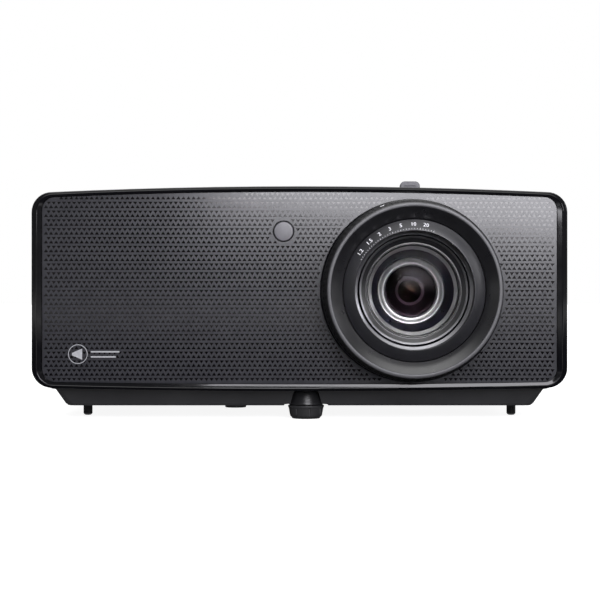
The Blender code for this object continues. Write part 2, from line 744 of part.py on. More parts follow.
def build_front_group():
    """Front cell, stepped inwards behind a meniscus glass; it slides in the barrel."""
    cell = [
        (40.1, -162.4),
        (39.5, -163.0),
        (35.6, -161.2),
        (34.1, -160.4),
        (33.8, -159.8),
        (33.8, -151.5),
        (30.5, -151.5),
        (25.3, -138.0),
        (25.3, -120.0),
        (27.4, -120.0),
        (27.4, -128.0),
        (40.4, -128.0),
        (40.4, -152.0),
        (40.1, -153.0),
    ]
    lens_ring("front_lens_cell", cell, "black_anodised")
    radii = (0.0, 11.0, 21.0, 28.5, FRONT_GLASS_RADIUS)
    front = [(r, sagged(r, -160.4, FRONT_GLASS_CURVATURE)) for r in radii]
    back = [(r, sagged(r, -156.6, FRONT_GLASS_CURVATURE)) for r in reversed(radii)]
    lens_ring("front_lens_glass", front + back, "optical_glass")


def build_zoom_group():
    """Zoom ring with its lever outside the barrel, and the sliding cell and glasses inside."""
    ring = [
        (BARREL_RADIUS + 0.5, -125.0),
        (54.0, -125.0),
        (54.0, -113.5),
        (BARREL_RADIUS + 0.5, -113.5),
    ]
    lens_ring("zoom_ring", ring, "black_anodised")
    foot_z, neck_z, top_z = LENS_Z + 54.6, 170.0, 180.0
    cap = arc((LENS_X + 3.9, top_z - 3.6), 3.6, 0, 90, 3)
    cap += arc((LENS_X - 3.9, top_z - 3.6), 3.6, 90, 180, 3)
    outline = [
        (LENS_X - 5.0, foot_z),
        (LENS_X + 5.0, foot_z),
        (LENS_X + 5.0, neck_z - 2.5),
        (LENS_X + 7.5, neck_z),
        *cap,
        (LENS_X - 7.5, neck_z),
        (LENS_X - 5.0, neck_z - 2.5),
    ]
    axis_point = (LENS_X, 0.0, LENS_Z)
    prism("zoom_lever", "Y", outline, *LEVER_Y, "key_grey_abs", axis_point)
    cell = [
        (24.9, -132.6),
        (24.4, -133.2),
        (20.6, -132.0),
        (19.2, -130.4),
        (19.2, -124.6),
        (17.4, -124.6),
        (10.8, -119.8),
        (8.9, -119.4),
        (8.9, -113.6),
        (30.0, -102.0),
        (36.0, -98.0),
        (36.0, -70.0),
        (40.6, -70.0),
        (40.6, -112.0),
        (24.9, -112.0),
    ]
    lens_ring("zoom_lens_cell", cell, "black_anodised")
    radii = (0.0, 7.0, 13.0, 18.9)
    front = [(r, sagged(r, -130.2, 60.0)) for r in radii]
    back = [(r, sagged(r, -127.9, 60.0)) for r in reversed(radii)]
    lens_ring("zoom_lens_glass", front + back, "coated_glass", SMALL_SIDES)
    pupil = [(0.0, -118.9), (4.6, -118.3), (8.6, -116.6), (8.6, -114.4), (0.0, -114.4)]
    lens_ring("relay_lens_glass", pupil, "coated_glass", SMALL_SIDES)


def comb(width, height, root, fins, fin_width):
    """Heat sink section: a root plate from 0 to root with evenly spaced fins up to height."""
    pitch = (width - fin_width) / (fins - 1)
    points = [(width / 2, 0.0), (-width / 2, 0.0)]
    for i in range(fins):
        left = -width / 2 + pitch * i
        points += [(left, height), (left + fin_width, height)]
        if i < fins - 1:
            points += [(left + fin_width, root), (left + pitch, root)]
    return points


def build_engine():
    """Cast chassis, prism, imaging board with its heat sink, and the light tunnel."""
    base = box("engine_chassis", (10.0, -30.0, 30.0), (152.0, 96.0, 35.0), "cast_magnesium")
    wall = box("add_bulkhead", (24.0, -22.0, 32.0), (143.0, -16.0, 153.0), None)
    combine(base, wall, "UNION")
    lens = (LENS_X, 0.0, LENS_Z)
    cut_round(base, "bulkhead_bore", "Y", lens, 44.8, -28.0, -12.0, LENS_SIDES)
    for i, (x, y) in enumerate(((18.0, -22.0), (144.0, -22.0), (18.0, 88.0), (144.0, 88.0))):
        leg = box(f"add_leg_{i}", (x - 4.0, y - 4.0, 13.0), (x + 4.0, y + 4.0, 32.0), None)
        combine(base, leg, "UNION")
    box(
        "prism_block",
        (LENS_X - 20.0, 2.0, LENS_Z - 18.0),
        (LENS_X + 20.0, 42.0, LENS_Z + 18.0),
        "optical_glass",
        1.0,
    )
    box(
        "dmd_board",
        (LENS_X - 34.0, 44.0, LENS_Z - 32.0),
        (LENS_X + 34.0, 46.0, LENS_Z + 36.0),
        "circuit_board",
    )
    fins = [(LENS_X + u, 47.0 + v) for u, v in comb(52.0, 26.0, 5.0, 7, 2.4)]
    prism("dmd_heatsink", "Z", fins, LENS_Z - 26.0, LENS_Z + 30.0, "bright_aluminium")
    half, bore = 8.0, 5.0
    ends = (-28.0, LENS_X - 22.0)
    loops = []
    for size, x in ((half, ends[0]), (half, ends[1]), (bore, ends[1]), (bore, ends[0])):
        corners = ((-size, -size), (size, -size), (size, size), (-size, size))
        loops.append([(x, 22.0 + u, LENS_Z + v) for u, v in corners])
    loft("light_tunnel", loops, "bright_aluminium", closed=True)


def build_light_source():
    """Laser bank with its heat sink, and the phosphor wheel whose rim crosses the beam."""
    wheel = [
        (0.0, -30.5),
        (10.0, -30.5),
        (10.0, -36.5),
        (33.0, -36.5),
        (33.0, -38.0),
        (13.0, -38.0),
        (13.0, -44.0),
        (0.0, -44.0),
    ]
    turned("phosphor_wheel", "X", (-37.0, 22.0, LENS_Z - 27.0), wheel, "phosphor_disc")
    box("laser_bank", (-104.0, -4.0, 72.0), (-52.0, 48.0, 124.0), "cast_magnesium", 1.5)
    fins = [(-105.0 - v, 22.0 + u) for u, v in comb(64.0, 44.0, 6.0, 8, 2.6)]
    prism("laser_heatsink", "Z", fins, 62.0, 134.0, "bright_aluminium")


def build_electronics():
    """Main board under the sockets and the mains supply behind the inlet."""
    box("main_board", (-170.0, 100.0, BOARD_Z - 1.6), (36.0, 166.0, BOARD_Z), "circuit_board")
    box("power_supply", (54.0, 104.0, 33.0), (172.0, 155.0, 84.0), "zinc_steel", 1.5)


FAN_HALF = 40.0
FAN_BORE = 38.0
FAN_Z = 109.0
BLADES = 7
BLADE_TIP = 36.4
HUB_RADIUS = 15.0
BLADE_TWIST = 26.0
STRUT_HALF = 2.0
STRUT_DEPTH = 2.6


def blade_loop(x, centre_y, turn):
    """Section of the rotor at x: a hub with swept blades, turned by an angle in degrees."""
    share = 360.0 / BLADES
    shape = [
        (HUB_RADIUS, -0.42 * share),
        (HUB_RADIUS, -0.20 * share),
        (BLADE_TIP, 0.06 * share),
        (BLADE_TIP, 0.22 * share),
        (HUB_RADIUS, 0.02 * share),
        (HUB_RADIUS, 0.30 * share),
    ]
    points = []
    for i in range(BLADES):
        for radius, offset in shape:
            angle = math.radians(share * i + offset + turn)
            y = centre_y + radius * math.cos(angle)
            points.append((x, y, FAN_Z + radius * math.sin(angle)))
    return points


def build_fan(name, left, centre_y):
    """Square fan frame from x = left, 25 deep, with a twisted rotor turning about X."""
    right = left + 25.0
    low = (left, centre_y - FAN_HALF, FAN_Z - FAN_HALF)
    high = (right, centre_y + FAN_HALF, FAN_Z + FAN_HALF)
    frame = box(f"{name}_fan_frame", low, high, "satin_black_abs", 1.5)
    centre = (left, centre_y, FAN_Z)
    cut_round(frame, f"{name}_bore", "X", centre, FAN_BORE, left - 2.0, right + 2.0)
    for reach_y, reach_z in ((FAN_BORE, STRUT_HALF), (STRUT_HALF, FAN_BORE)):
        near = (right - STRUT_DEPTH, centre_y - reach_y - 0.5, FAN_Z - reach_z - 0.5)
        far = (right - 0.4, centre_y + reach_y + 0.5, FAN_Z + reach_z + 0.5)
        strut = box(f"add_{name}_strut_{reach_y:.0f}", near, far, None)
        combine(frame, strut, "UNION")
    stages = ((left + 3.0, 0.0), (left + 12.0, BLADE_TWIST / 2), (left + 21.0, BLADE_TWIST))
    loops = [blade_loop(x, centre_y, turn) for x, turn in stages]
    loft(f"{name}_fan_rotor", loops, "satin_black_abs", pivot=(left + 12.0, centre_y, FAN_Z))


def build_fans():
    """Intake fan behind the left grille, exhaust fan behind the right one."""
    build_fan("intake", -188.0, -10.0)
    build_fan("exhaust", 163.0, 40.0)


def build_projector():
    """Build every piece in order, shells first."""
    build_front_bezel()
    build_front_panel()
    build_top_cover()
    build_grille("intake_grille", -1)
    build_grille("exhaust_grille", 1)
    build_bottom_case()
    build_rear_panel()
    build_ports()
    build_keypad()
    build_front_foot()
    for side_name, side in (("left", -1), ("right", 1)):
        build_rear_foot(side_name, side)
        build_steady_peg(side_name, side)
    build_lens_rings()
    build_lens_barrel()
    build_front_group()
    build_zoom_group()
    build_engine()
    build_light_source()
    build_electronics()
    build_fans()


clear_scene()
build_projector()
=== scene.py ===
"""Looks of a home projector with a large front lens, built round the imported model.

Sizes in the classes are millimetres; the bench turns them into metres. The front faces -Y.
"""

import json
import logging
import math
from collections.abc import Callable, Sequence
from dataclasses import dataclass
from enum import Enum

import bmesh
import bpy
from mathutils import Matrix, Vector

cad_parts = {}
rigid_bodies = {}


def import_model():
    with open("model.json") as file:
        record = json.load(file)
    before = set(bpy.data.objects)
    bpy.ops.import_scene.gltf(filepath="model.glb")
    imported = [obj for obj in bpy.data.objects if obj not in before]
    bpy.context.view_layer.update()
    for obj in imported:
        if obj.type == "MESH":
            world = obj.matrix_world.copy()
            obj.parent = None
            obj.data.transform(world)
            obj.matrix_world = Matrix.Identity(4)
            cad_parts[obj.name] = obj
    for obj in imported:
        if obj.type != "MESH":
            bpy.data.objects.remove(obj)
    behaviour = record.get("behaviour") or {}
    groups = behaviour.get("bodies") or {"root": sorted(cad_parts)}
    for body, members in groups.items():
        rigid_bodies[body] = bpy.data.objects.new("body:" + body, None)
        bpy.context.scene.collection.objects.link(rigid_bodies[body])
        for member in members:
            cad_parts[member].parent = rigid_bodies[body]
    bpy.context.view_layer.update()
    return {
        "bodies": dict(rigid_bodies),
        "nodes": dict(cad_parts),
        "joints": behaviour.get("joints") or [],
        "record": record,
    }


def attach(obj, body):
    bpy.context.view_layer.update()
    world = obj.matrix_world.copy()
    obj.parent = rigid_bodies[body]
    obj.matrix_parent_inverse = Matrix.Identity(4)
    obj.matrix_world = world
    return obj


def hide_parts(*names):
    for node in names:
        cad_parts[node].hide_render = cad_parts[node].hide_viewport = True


log = logging.getLogger("projector")

MM = 0.001
# Points closer than this are merged, in metres.
MERGE = 2e-6
# The ring spacing of a wave texture whose scale is 1, in metres.
WAVE_PERIOD = 0.314
Point = tuple[float, float, float]
Flat = tuple[float, float]
Where = Callable[[Vector, Vector], bool]


class Axis(Enum):
    """An axis that a turned piece is spun about."""

    X = (1.0, 0.0, 0.0)
    Y = (0.0, 1.0, 0.0)
    Z = (0.0, 0.0, 1.0)

    def place(self, radius: float, along: float) -> Vector:
        """A profile point: radius out from the axis, and a place along it.

        Args:
            radius: how far out it is.
            along: its place along the axis.

        Returns:
            The point for a spin about this axis.
        """
        if self is Axis.X:
            return Vector((along, radius, 0.0))
        if self is Axis.Y:
            return Vector((radius, along, 0.0))
        return Vector((radius, 0.0, along))


def linear(colour: str) -> tuple[float, float, float, float]:
    """Turn an sRGB hex colour into linear RGBA.

    Args:
        colour: six hex digits after a hash sign.

    Returns:
        The linear colour with full alpha.
    """
    parts = [int(colour[i : i + 2], 16) / 255 for i in (1, 3, 5)]
    r, g, b = (p / 12.92 if p <= 0.04045 else ((p + 0.055) / 1.055) ** 2.4 for p in parts)
    return (r, g, b, 1.0)


def add_node(
    tree: bpy.types.NodeTree, kind: str, links: dict[str | int, object], **settings: object
) -> bpy.types.Node:
    """Add one node, set it up and link it.

    Args:
        tree: the node tree to add to.
        kind: the node's type name.
        links: input name or index, with the socket or value that it takes.
        settings: the node's own properties.

    Returns:
        The new node.
    """
    node = tree.nodes.new(kind)
    for key, value in settings.items():
        setattr(node, key, value)
    for key, value in links.items():
        if isinstance(value, bpy.types.NodeSocket):
            tree.links.new(value, node.inputs[key])
        else:
            node.inputs[key].default_value = value
    return node


# ---------------------------------------------------------------- finishes
#
# The real grain of etched plastic is 0.1 to 0.3 mm wide, and the real rings of a turned face are
# about 0.1 mm apart. Both are too fine to show, so they are drawn several times as coarse.


@dataclass(frozen=True)
class Finish:
    """A moulded or cast surface: a base colour with cloudy variation and a fine grain."""

    name: str
    colour: str
    cloud_colour: str
    roughness: float
    spread: float = 0.06
    metallic: float = 0.0
    ior: float = 1.5
    cloud_mm: float = 30.0
    grain_mm: float = 0.5
    grain_height_mm: float = 0.0
    specular: float = 0.5
    glow: float = 0.0

    def pattern_space(self, tree: bpy.types.NodeTree) -> bpy.types.NodeSocket:
        """The piece's own coordinates, in metres."""
        return add_node(tree, "ShaderNodeTexCoord", {}).outputs["Object"]

    def cloud(self, tree: bpy.types.NodeTree, size_mm: float, detail: float) -> object:
        """A noise pattern from 0 to 1 whose patches are about size_mm across.

        Args:
            tree: the node tree to add to.
            size_mm: how wide a patch is.
            detail: how many finer layers it has.

        Returns:
            The pattern's socket.
        """
        return add_node(
            tree,
            "ShaderNodeTexNoise",
            {
                "Vector": self.pattern_space(tree),
                "Scale": 1.0 / (size_mm * MM),
                "Detail": detail,
            },
        ).outputs["Fac"]

    def ranged(self, tree: bpy.types.NodeTree, value: object, low: float, high: float) -> object:
        """Spread the middle of a noise pattern over low to high.

        Args:
            tree: the node tree to add to.
            value: the pattern.
            low: what its darker patches become.
            high: what its lighter patches become.

        Returns:
            The socket with the spread values.
        """
        return add_node(
            tree,
            "ShaderNodeMapRange",
            {"Value": value, 1: 0.3, 2: 0.7, 3: low, 4: high},
        ).outputs[0]

    def bumps(self, tree: bpy.types.NodeTree) -> object:
        """The height pattern of the surface, or None for a smooth one."""
        if not self.grain_height_mm:
            return None
        return self.cloud(tree, self.grain_mm, 2.0)

    def base_colour(self, tree: bpy.types.NodeTree) -> object:
        """The colour with its cloudy variation.

        Args:
            tree: the node tree to add to.

        Returns:
            The colour's socket.
        """
        factor = self.ranged(tree, self.cloud(tree, self.cloud_mm, 3.0), 0.0, 1.0)
        mix = add_node(tree, "ShaderNodeMix", {0: factor}, data_type="RGBA")
        mix.inputs[6].default_value = linear(self.colour)
        mix.inputs[7].default_value = linear(self.cloud_colour)
        return mix.outputs[2]

    def made(self) -> bpy.types.Material:
        """Build the material, or give the one already built.

        Returns:
            The Blender material of this finish.
        """
        known = bpy.data.materials.get(self.name)
        if known:
            return known
        material = bpy.data.materials.new(self.name)
        material.use_nodes = True
        tree = material.node_tree
        shader = tree.nodes["Principled BSDF"]
        tree.links.new(self.base_colour(tree), shader.inputs["Base Color"])
        rough = self.ranged(
            tree,
            self.cloud(tree, self.cloud_mm * 0.3, 4.0),
            max(0.0, self.roughness - self.spread),
            self.roughness + self.spread,
        )
        tree.links.new(rough, shader.inputs["Roughness"])
        shader.inputs["Metallic"].default_value = self.metallic
        if not self.metallic:
            shader.inputs["IOR"].default_value = self.ior
        shader.inputs["Specular IOR Level"].default_value = self.specular
        if self.glow:
            shader.inputs["Emission Color"].default_value = (1.0, 1.0, 1.0, 1.0)
            shader.inputs["Emission Strength"].default_value = self.glow
        height = self.bumps(tree)
        if height is not None:
            bump = add_node(
                tree,
                "ShaderNodeBump",
                {"Height": height, "Distance": self.grain_height_mm * MM, "Strength": 1.0},
            )
            tree.links.new(bump.outputs["Normal"], shader.inputs["Normal"])
        self.extras(tree, shader)
        return material

    def extras(self, tree: bpy.types.NodeTree, shader: bpy.types.Node) -> None:
        """Room for what only one kind of finish needs."""

    def dress(self, piece: bpy.types.Object) -> None:
        """Put this finish on every face of a piece.

        Args:
            piece: a mesh, with or without materials.
        """
        for i in range(max(1, len(piece.data.materials))):
            if i < len(piece.data.materials):
                piece.data.materials[i] = self.made()
            else:
                piece.data.materials.append(self.made())


@dataclass(frozen=True)
class Lathed(Finish):
    """A turned surface: fine rings left by the tool, round an axis parallel to Y."""

    axis_x: float = 83.7
    axis_z: float = 97.1
    ring_mm: float = 0.6

    def bumps(self, tree: bpy.types.NodeTree) -> object:
        """Rings about the lens axis.

        Args:
            tree: the node tree to add to.

        Returns:
            The height's socket.
        """
        centred = add_node(
            tree,
            "ShaderNodeMapping",
            {
                "Vector": self.pattern_space(tree),
                "Location": (-self.axis_x * MM, 0.0, -self.axis_z * MM),
            },
        ).outputs["Vector"]
        return add_node(
            tree,
            "ShaderNodeTexWave",
            {
                "Vector": centred,
                "Scale": WAVE_PERIOD / (self.ring_mm * MM),
                "Distortion": 0.4,
                "Detail": 1.0,
            },
            wave_type="RINGS",
            rings_direction="Y",
        ).outputs["Fac"]


@dataclass(frozen=True)
class Glass(Finish):
    """Polished optical glass with a thin coating; nearly clear, with a faint tint."""

    transmission: float = 1.0
    film_nm: float = 0.0
    film_ior: float = 1.38

    def extras(self, tree: bpy.types.NodeTree, shader: bpy.types.Node) -> None:
        """Let light through, and add the coating's interference colour.

        Args:
            tree: the material's node tree.
            shader: its shader node.
        """
        shader.inputs["Transmission Weight"].default_value = self.transmission
        if self.film_nm:
            shader.inputs["Thin Film Thickness"].default_value = self.film_nm
            shader.inputs["Thin Film IOR"].default_value = self.film_ior


# Moulded ABS of the foot and pegs, between satin and gloss.
HALF_GLOSS = Finish(
    "half_gloss_abs", "#131315", "#18181a", 0.33, 0.04, cloud_mm=12.0, specular=0.4, grain_mm=0.8,
    grain_height_mm=0.003,
)
# Injection-moulded ABS polished in the tool: near black and mirror smooth, with faint haze.
GLOSS_BLACK = Finish(
    "gloss_moulded_abs", "#060608", "#09090b", 0.07, 0.03, cloud_mm=60.0, specular=0.28
)
# Textured ABS between the dimples: a mid grey-black that scatters light softly.
PANEL_GROUND = Finish(
    "sparked_abs", "#1f1f23", "#242428", 0.19, 0.02, cloud_mm=8.0, grain_mm=0.9,
    grain_height_mm=0.004,
)
# Polished floor of each dimple: darker, and glossier than the ground round it.
PANEL_FACET = Finish(
    "polished_dimple_abs", "#020203", "#040405", 0.09, 0.02, cloud_mm=5.0, specular=0.5
)
# Fine etched ABS of the covers: charcoal with a soft sheen and a sandy grain.
SATIN_BLACK = Finish(
    "etched_abs", "#1b1b1d", "#1e1e20", 0.5, 0.015, cloud_mm=60.0, grain_mm=0.7,
    grain_height_mm=0.02,
)
# The same skin on the base, where the tool was left duller.
DULL_BLACK = Finish(
    "dull_etched_abs", "#1f1f21", "#252527", 0.5, 0.05, cloud_mm=40.0, grain_mm=0.9,
    grain_height_mm=0.02, specular=0.25,
)
# Keys and lever: lighter grey moulded ABS with a soft touch.
KEY_GREY = Finish(
    "soft_touch_abs", "#48484c", "#505055", 0.5, 0.05, cloud_mm=6.0, grain_mm=0.4,
    grain_height_mm=0.008,
)
# Printed marks: matt ink that catches the light a little.
PALE_INK = Finish("pale_pad_ink", "#77787c", "#838488", 0.55, 0.05, cloud_mm=1.5)
# Filled engraving of the distance scale: clean white enamel.
SCALE_INK = Finish("white_enamel_fill", "#dcdce0", "#cfcfd4", 0.45, 0.05, cloud_mm=1.5)
# Infrared window: cloudy polycarbonate, grey with a satin face.
IR_WINDOW = Finish("smoked_polycarbonate", "#48474b", "#4e4d52", 0.4, 0.05, cloud_mm=5.0)
# Hard-anodised aluminium turned on a lathe: black with fine rings, under a dense oxide.
BLACK_ANODISED = Lathed(
    "black_anodised_turning", "#0a0a0c", "#0f0f12", 0.3, 0.03, 0.0, ior=1.7, cloud_mm=20.0,
    grain_height_mm=0.003, ring_mm=1.6,
)
# The lettered cone: painted and lightly turned, so that it shades from dark to mid grey.
SATIN_RING = Lathed(
    "satin_painted_turning", "#121215", "#17171b", 0.36, 0.03, 0.0, ior=1.6, cloud_mm=15.0,
    grain_height_mm=0.003, ring_mm=1.5,
)
# Bare aluminium inside the lens: bright rings with turning marks.
BRIGHT_RING = Lathed(
    "bright_turned_aluminium", "#c4c4c4", "#b2b2b3", 0.36, 0.04, 1.0, cloud_mm=10.0,
    grain_height_mm=0.002, ring_mm=1.5,
)
# The deep wall between the two cells: black anodising tinted blue, a painted reflection of the
# front glass's coating.
BLUE_REFLECTION_ANODISED = Lathed(
    "black_anodised_with_painted_blue_reflection", "#12121e", "#191927", 0.3, 0.03, 0.0, cloud_mm=20.0,
    grain_height_mm=0.003, ring_mm=1.6,
)
# Lip of the barrel, machined and left a dull grey.
STEP_RING = Lathed(
    "satin_machined_aluminium", "#98989b", "#8a8a8d", 0.36, 0.04, 1.0, cloud_mm=12.0,
    grain_height_mm=0.002, ring_mm=1.5,
)
# Grip of the focus ring: black moulded rubber sleeve, hardly shining.
GRIP = Finish(
    "black_rubber_sleeve", "#070708", "#0b0b0c", 0.5, 0.05, cloud_mm=12.0, specular=0.25
)
# Rim of the focus ring: anodising given a lighter grey, which is in part a painted highlight of the
# light the rim catches.
RIM_HIGHLIGHT_GREY = Lathed(
    "grey_anodised_with_painted_rim_highlight", "#2c2c2f", "#343437", 0.4, 0.04, 0.0, cloud_mm=25.0,
    grain_height_mm=0.003, ring_mm=1.5,
)
# Clear optical glass whose coating leaves hardly any reflection, so its index is set low.
CLEAR_GLASS = Glass(
    "bloomed_crown_glass", "#fbfbfb", "#f6f6f6", 0.0, 0.0, ior=1.06, specular=0.05
)
# Coated inner glass, made opaque: its deep purple-brown is painted shade of the lens's depth and a
# painted coating reflection, with a real violet reflection from the thin film.
PUPIL_GLASS_PAINTED_DARK = Glass(
    "coated_glass_with_painted_dark_plum", "#0b0712", "#120a16", 0.1, 0.02, cloud_mm=9.0,
    transmission=0.0, film_nm=420.0,
)
# The larger inner glass lets the pupil show through; its plum tint is a painted coating reflection.
PLUM_REFLECTION_GLASS = Glass(
    "glass_tinted_with_painted_plum_reflection", "#b9a9bb", "#c0aeb6", 0.0, 0.0, ior=1.1, cloud_mm=9.0, specular=0.1
)
# Painted edge of the inner glass group: dark edge paint tinted plum brown, the plum being a painted
# coating reflection.
PLUM_REFLECTION_PAINT = Lathed(
    "edge_paint_with_painted_plum_reflection", "#170f18", "#1e1314", 0.4, 0.04, 0.0, cloud_mm=14.0,
    grain_height_mm=0.003, ring_mm=1.5,
)
# Moulded rubber: matt, dusty black.
RUBBER = Finish(
    "moulded_rubber", "#161617", "#1e1e1f", 0.85, 0.06, cloud_mm=5.0, grain_mm=0.6,
    grain_height_mm=0.04,
)
# Zinc-plated steel: mid grey with a cloudy spangle.
ZINC = Finish("zinc_plated_steel", "#a9abad", "#94979b", 0.33, 0.08, 1.0, cloud_mm=3.0)
# Tinned steel of the sockets: a cool, slightly cloudy grey with a soft shine.
PORT_STEEL = Finish("tinned_steel", "#9b9da0", "#87898d", 0.28, 0.06, 1.0, cloud_mm=2.0)
# Moulded nylon of the connectors' insides: flat black, a little waxy.
NYLON = Finish("moulded_nylon", "#121214", "#1a1a1c", 0.55, 0.05, cloud_mm=3.0)
# Gold-flashed contacts: warm yellow, bright along the edges.
CONTACT = Finish("gold_flashed_bronze", "#c9a650", "#b5903f", 0.25, 0.05, 1.0, cloud_mm=1.0)
# Solder mask over glass-fibre board: green with a faint weave.
BOARD = Finish(
    "green_solder_mask", "#1d4a33", "#23583c", 0.42, 0.08, cloud_mm=5.0, grain_mm=0.6,
    grain_height_mm=0.02,
)
# Die-cast magnesium: pale grey with a pebbled skin.
CASTING = Finish(
    "die_cast_magnesium", "#85878a", "#74767a", 0.5, 0.08, 1.0, cloud_mm=12.0,
    grain_mm=1.2, grain_height_mm=0.05,
)
# Extruded aluminium of the heat sinks: pale, with a faint uneven sheen.
EXTRUSION = Finish("extruded_aluminium", "#b9bbc0", "#a6a8ae", 0.32, 0.06, 1.0, cloud_mm=8.0)
# Phosphor coating of the wheel: chalky yellow.
PHOSPHOR = Finish(
    "bonded_phosphor", "#d8c24a", "#c4ab37", 0.7, 0.08, cloud_mm=4.0, grain_mm=0.5,
    grain_height_mm=0.03,
)
# Light guide of the status light: milky and slightly blue.
LIGHT_GUIDE = Finish("frosted_acrylic", "#c3ced6", "#b4c0c9", 0.35, 0.05, cloud_mm=3.0)


# ---------------------------------------------------------------- modelling bench


class Bench:
    """The modelling bench: adds blanks, selects by place and runs the edit operators."""

    @staticmethod
    def clear() -> None:
        """Leave nothing selected."""
        if bpy.context.object and bpy.context.object.mode != "OBJECT":
            bpy.ops.object.mode_set(mode="OBJECT")
        bpy.ops.object.select_all(action="DESELECT")

    @staticmethod
    def take(piece: bpy.types.Object) -> None:
        """Select one piece alone and make it the active one."""
        Bench.clear()
        bpy.context.view_layer.objects.active = piece
        piece.select_set(True)

    @staticmethod
    def named(name: str) -> bpy.types.Object:
        """Name the active object and its mesh.

        Args:
            name: the name for both.

        Returns:
            The active object.
        """
        piece = bpy.context.object
        piece.name = name
        piece.data.name = name
        return piece

    @staticmethod
    def edit(piece: bpy.types.Object) -> None:
        """Open a piece for editing, with nothing else selected."""
        Bench.take(piece)
        bpy.ops.object.mode_set(mode="EDIT")

    @staticmethod
    def done(piece: bpy.types.Object) -> bpy.types.Object:
        """Close editing and put the object's place into its mesh."""
        Bench.take(piece)
        bpy.ops.object.transform_apply(location=True, rotation=True, scale=True)
        return piece

    @staticmethod
    def pick(piece: bpy.types.Object, where: Where, mode: str = "FACE") -> int:
        """Select the faces or vertices that a test accepts.

        Args:
            piece: the piece open for editing.
            where: takes a place in millimetres and a normal.
            mode: FACE or VERT.

        Returns:
            How many were selected.
        """
        bpy.ops.mesh.select_mode(type=mode)
        bpy.ops.mesh.select_all(action="DESELECT")
        bm = bmesh.from_edit_mesh(piece.data)
        items = bm.faces if mode == "FACE" else bm.verts
        count = 0
        for item in items:
            place = item.calc_center_median() if mode == "FACE" else item.co
            if where(place / MM, item.normal):
                item.select_set(True)
                count += 1
        bmesh.update_edit_mesh(piece.data)
        return count

    @staticmethod
    def seed(name: str, start: Point) -> bpy.types.Object:
        """A piece holding a single vertex at a place, ready to be extruded.

        Args:
            name: the piece's name.
            start: the place, in millimetres.

        Returns:
            The piece, open for editing.
        """
        Bench.clear()
        bpy.ops.mesh.primitive_plane_add(size=MM, location=Vector(start) * MM)
        piece = Bench.named(name)
        Bench.done(piece)
        Bench.edit(piece)
        bpy.ops.mesh.select_mode(type="VERT")
        bpy.ops.mesh.select_all(action="SELECT")
        bpy.ops.mesh.merge(type="CENTER")
        return piece

    @staticmethod
    def walk(points: Sequence[Point], closed: bool) -> None:
        """Extrude the selected vertex along points, and close the line if asked.

        Args:
            points: the places in order; the vertex is at the first.
            closed: whether the line ends where it began.
        """
        stops = [*points, points[0]] if closed else points
        for before, point in zip(stops, stops[1:]):
            step = (Vector(point) - Vector(before)) * MM
            bpy.ops.mesh.extrude_region_move(TRANSFORM_OT_translate={"value": step})

    @staticmethod
    def weld() -> None:
        """Merge doubles and turn every face outwards."""
        bpy.ops.mesh.select_all(action="SELECT")
        bpy.ops.mesh.remove_doubles(threshold=MERGE)
        bpy.ops.mesh.normals_make_consistent(inside=False)

    @staticmethod
    def smooth(piece: bpy.types.Object, degrees: float = 32.0) -> bpy.types.Object:
        """Shade smooth, keeping edges sharper than an angle.

        Args:
            piece: the finished piece.
            degrees: the angle.

        Returns:
            The same piece.
        """
        Bench.take(piece)
        bpy.ops.object.shade_smooth_by_angle(angle=math.radians(degrees))
        return piece

    @staticmethod
    def turned(
        name: str,
        profile: Sequence[Flat],
        centre: Point,
        axis: Axis = Axis.Y,
        steps: int = 112,
        rounding: float = 0.25,
    ) -> bpy.types.Object:
        """Spin a profile of (radius, place along the axis) into a closed piece.

        Args:
            name: the piece's name.
            profile: its corners in order; it is closed unless it ends on the axis.
            centre: a point of the axis.
            axis: the axis it is spun about.
            steps: how many steps the turn takes.
            rounding: how far each corner is rounded off.

        Returns:
            The turned piece.
        """
        solid = profile[0][0] < 0.01 and profile[-1][0] < 0.01
        middle = Vector(centre)
        points = [tuple(middle + axis.place(r, a)) for r, a in profile]
        piece = Bench.seed(name, points[0])
        Bench.walk(points, closed=not solid)
        bpy.ops.mesh.select_all(action="SELECT")
        bpy.ops.mesh.remove_doubles(threshold=MERGE)
        if rounding:
            away = Vector(axis.value)

            def off_axis(place: Vector, _: Vector) -> bool:
                """Whether a point lies away from the axis, so that it may be rounded."""
                out = place - middle
                return (out - away * out.dot(away)).length > 0.3

            Bench.pick(piece, off_axis, "VERT")
            bpy.ops.mesh.bevel(
                affect="VERTICES", offset=rounding * MM, segments=2, clamp_overlap=True
            )
        bpy.ops.mesh.select_all(action="SELECT")
        bpy.ops.mesh.spin(
            steps=steps, angle=math.tau, center=middle * MM, axis=axis.value, use_auto_merge=True
        )
        Bench.weld()
        return Bench.smooth(Bench.done(piece))

    @staticmethod
    def lofted(name: str, loops: Sequence[Sequence[Point]], closed: bool) -> bpy.types.Object:
        """Bridge outlines of the same number of points into one skin.

        Args:
            name: the piece's name.
            loops: the outlines in order, each a closed line.
            closed: whether the last outline joins the first; if not, the two ends are filled.

        Returns:
            The lofted piece.
        """
        rows = [*loops, loops[0]] if closed else list(loops)
        piece = Bench.seed(name, rows[0][0])
        for i, row in enumerate(rows):
            if i:
                bpy.ops.mesh.select_all(action="DESELECT")
                bpy.ops.mesh.primitive_plane_add(size=MM, location=Vector(row[0]) * MM)
                bpy.ops.mesh.merge(type="CENTER")
            Bench.walk(row, closed=True)
            Bench.number_row(piece, i + 1)
        for i in range(1, len(rows)):
            Bench.take_rows(piece, i, i + 1)
            bpy.ops.mesh.bridge_edge_loops()
        if not closed:
            for end in (1, len(rows)):
                Bench.take_rows(piece, end)
                bpy.ops.mesh.edge_face_add()
        Bench.weld()
        return Bench.smooth(Bench.done(piece))

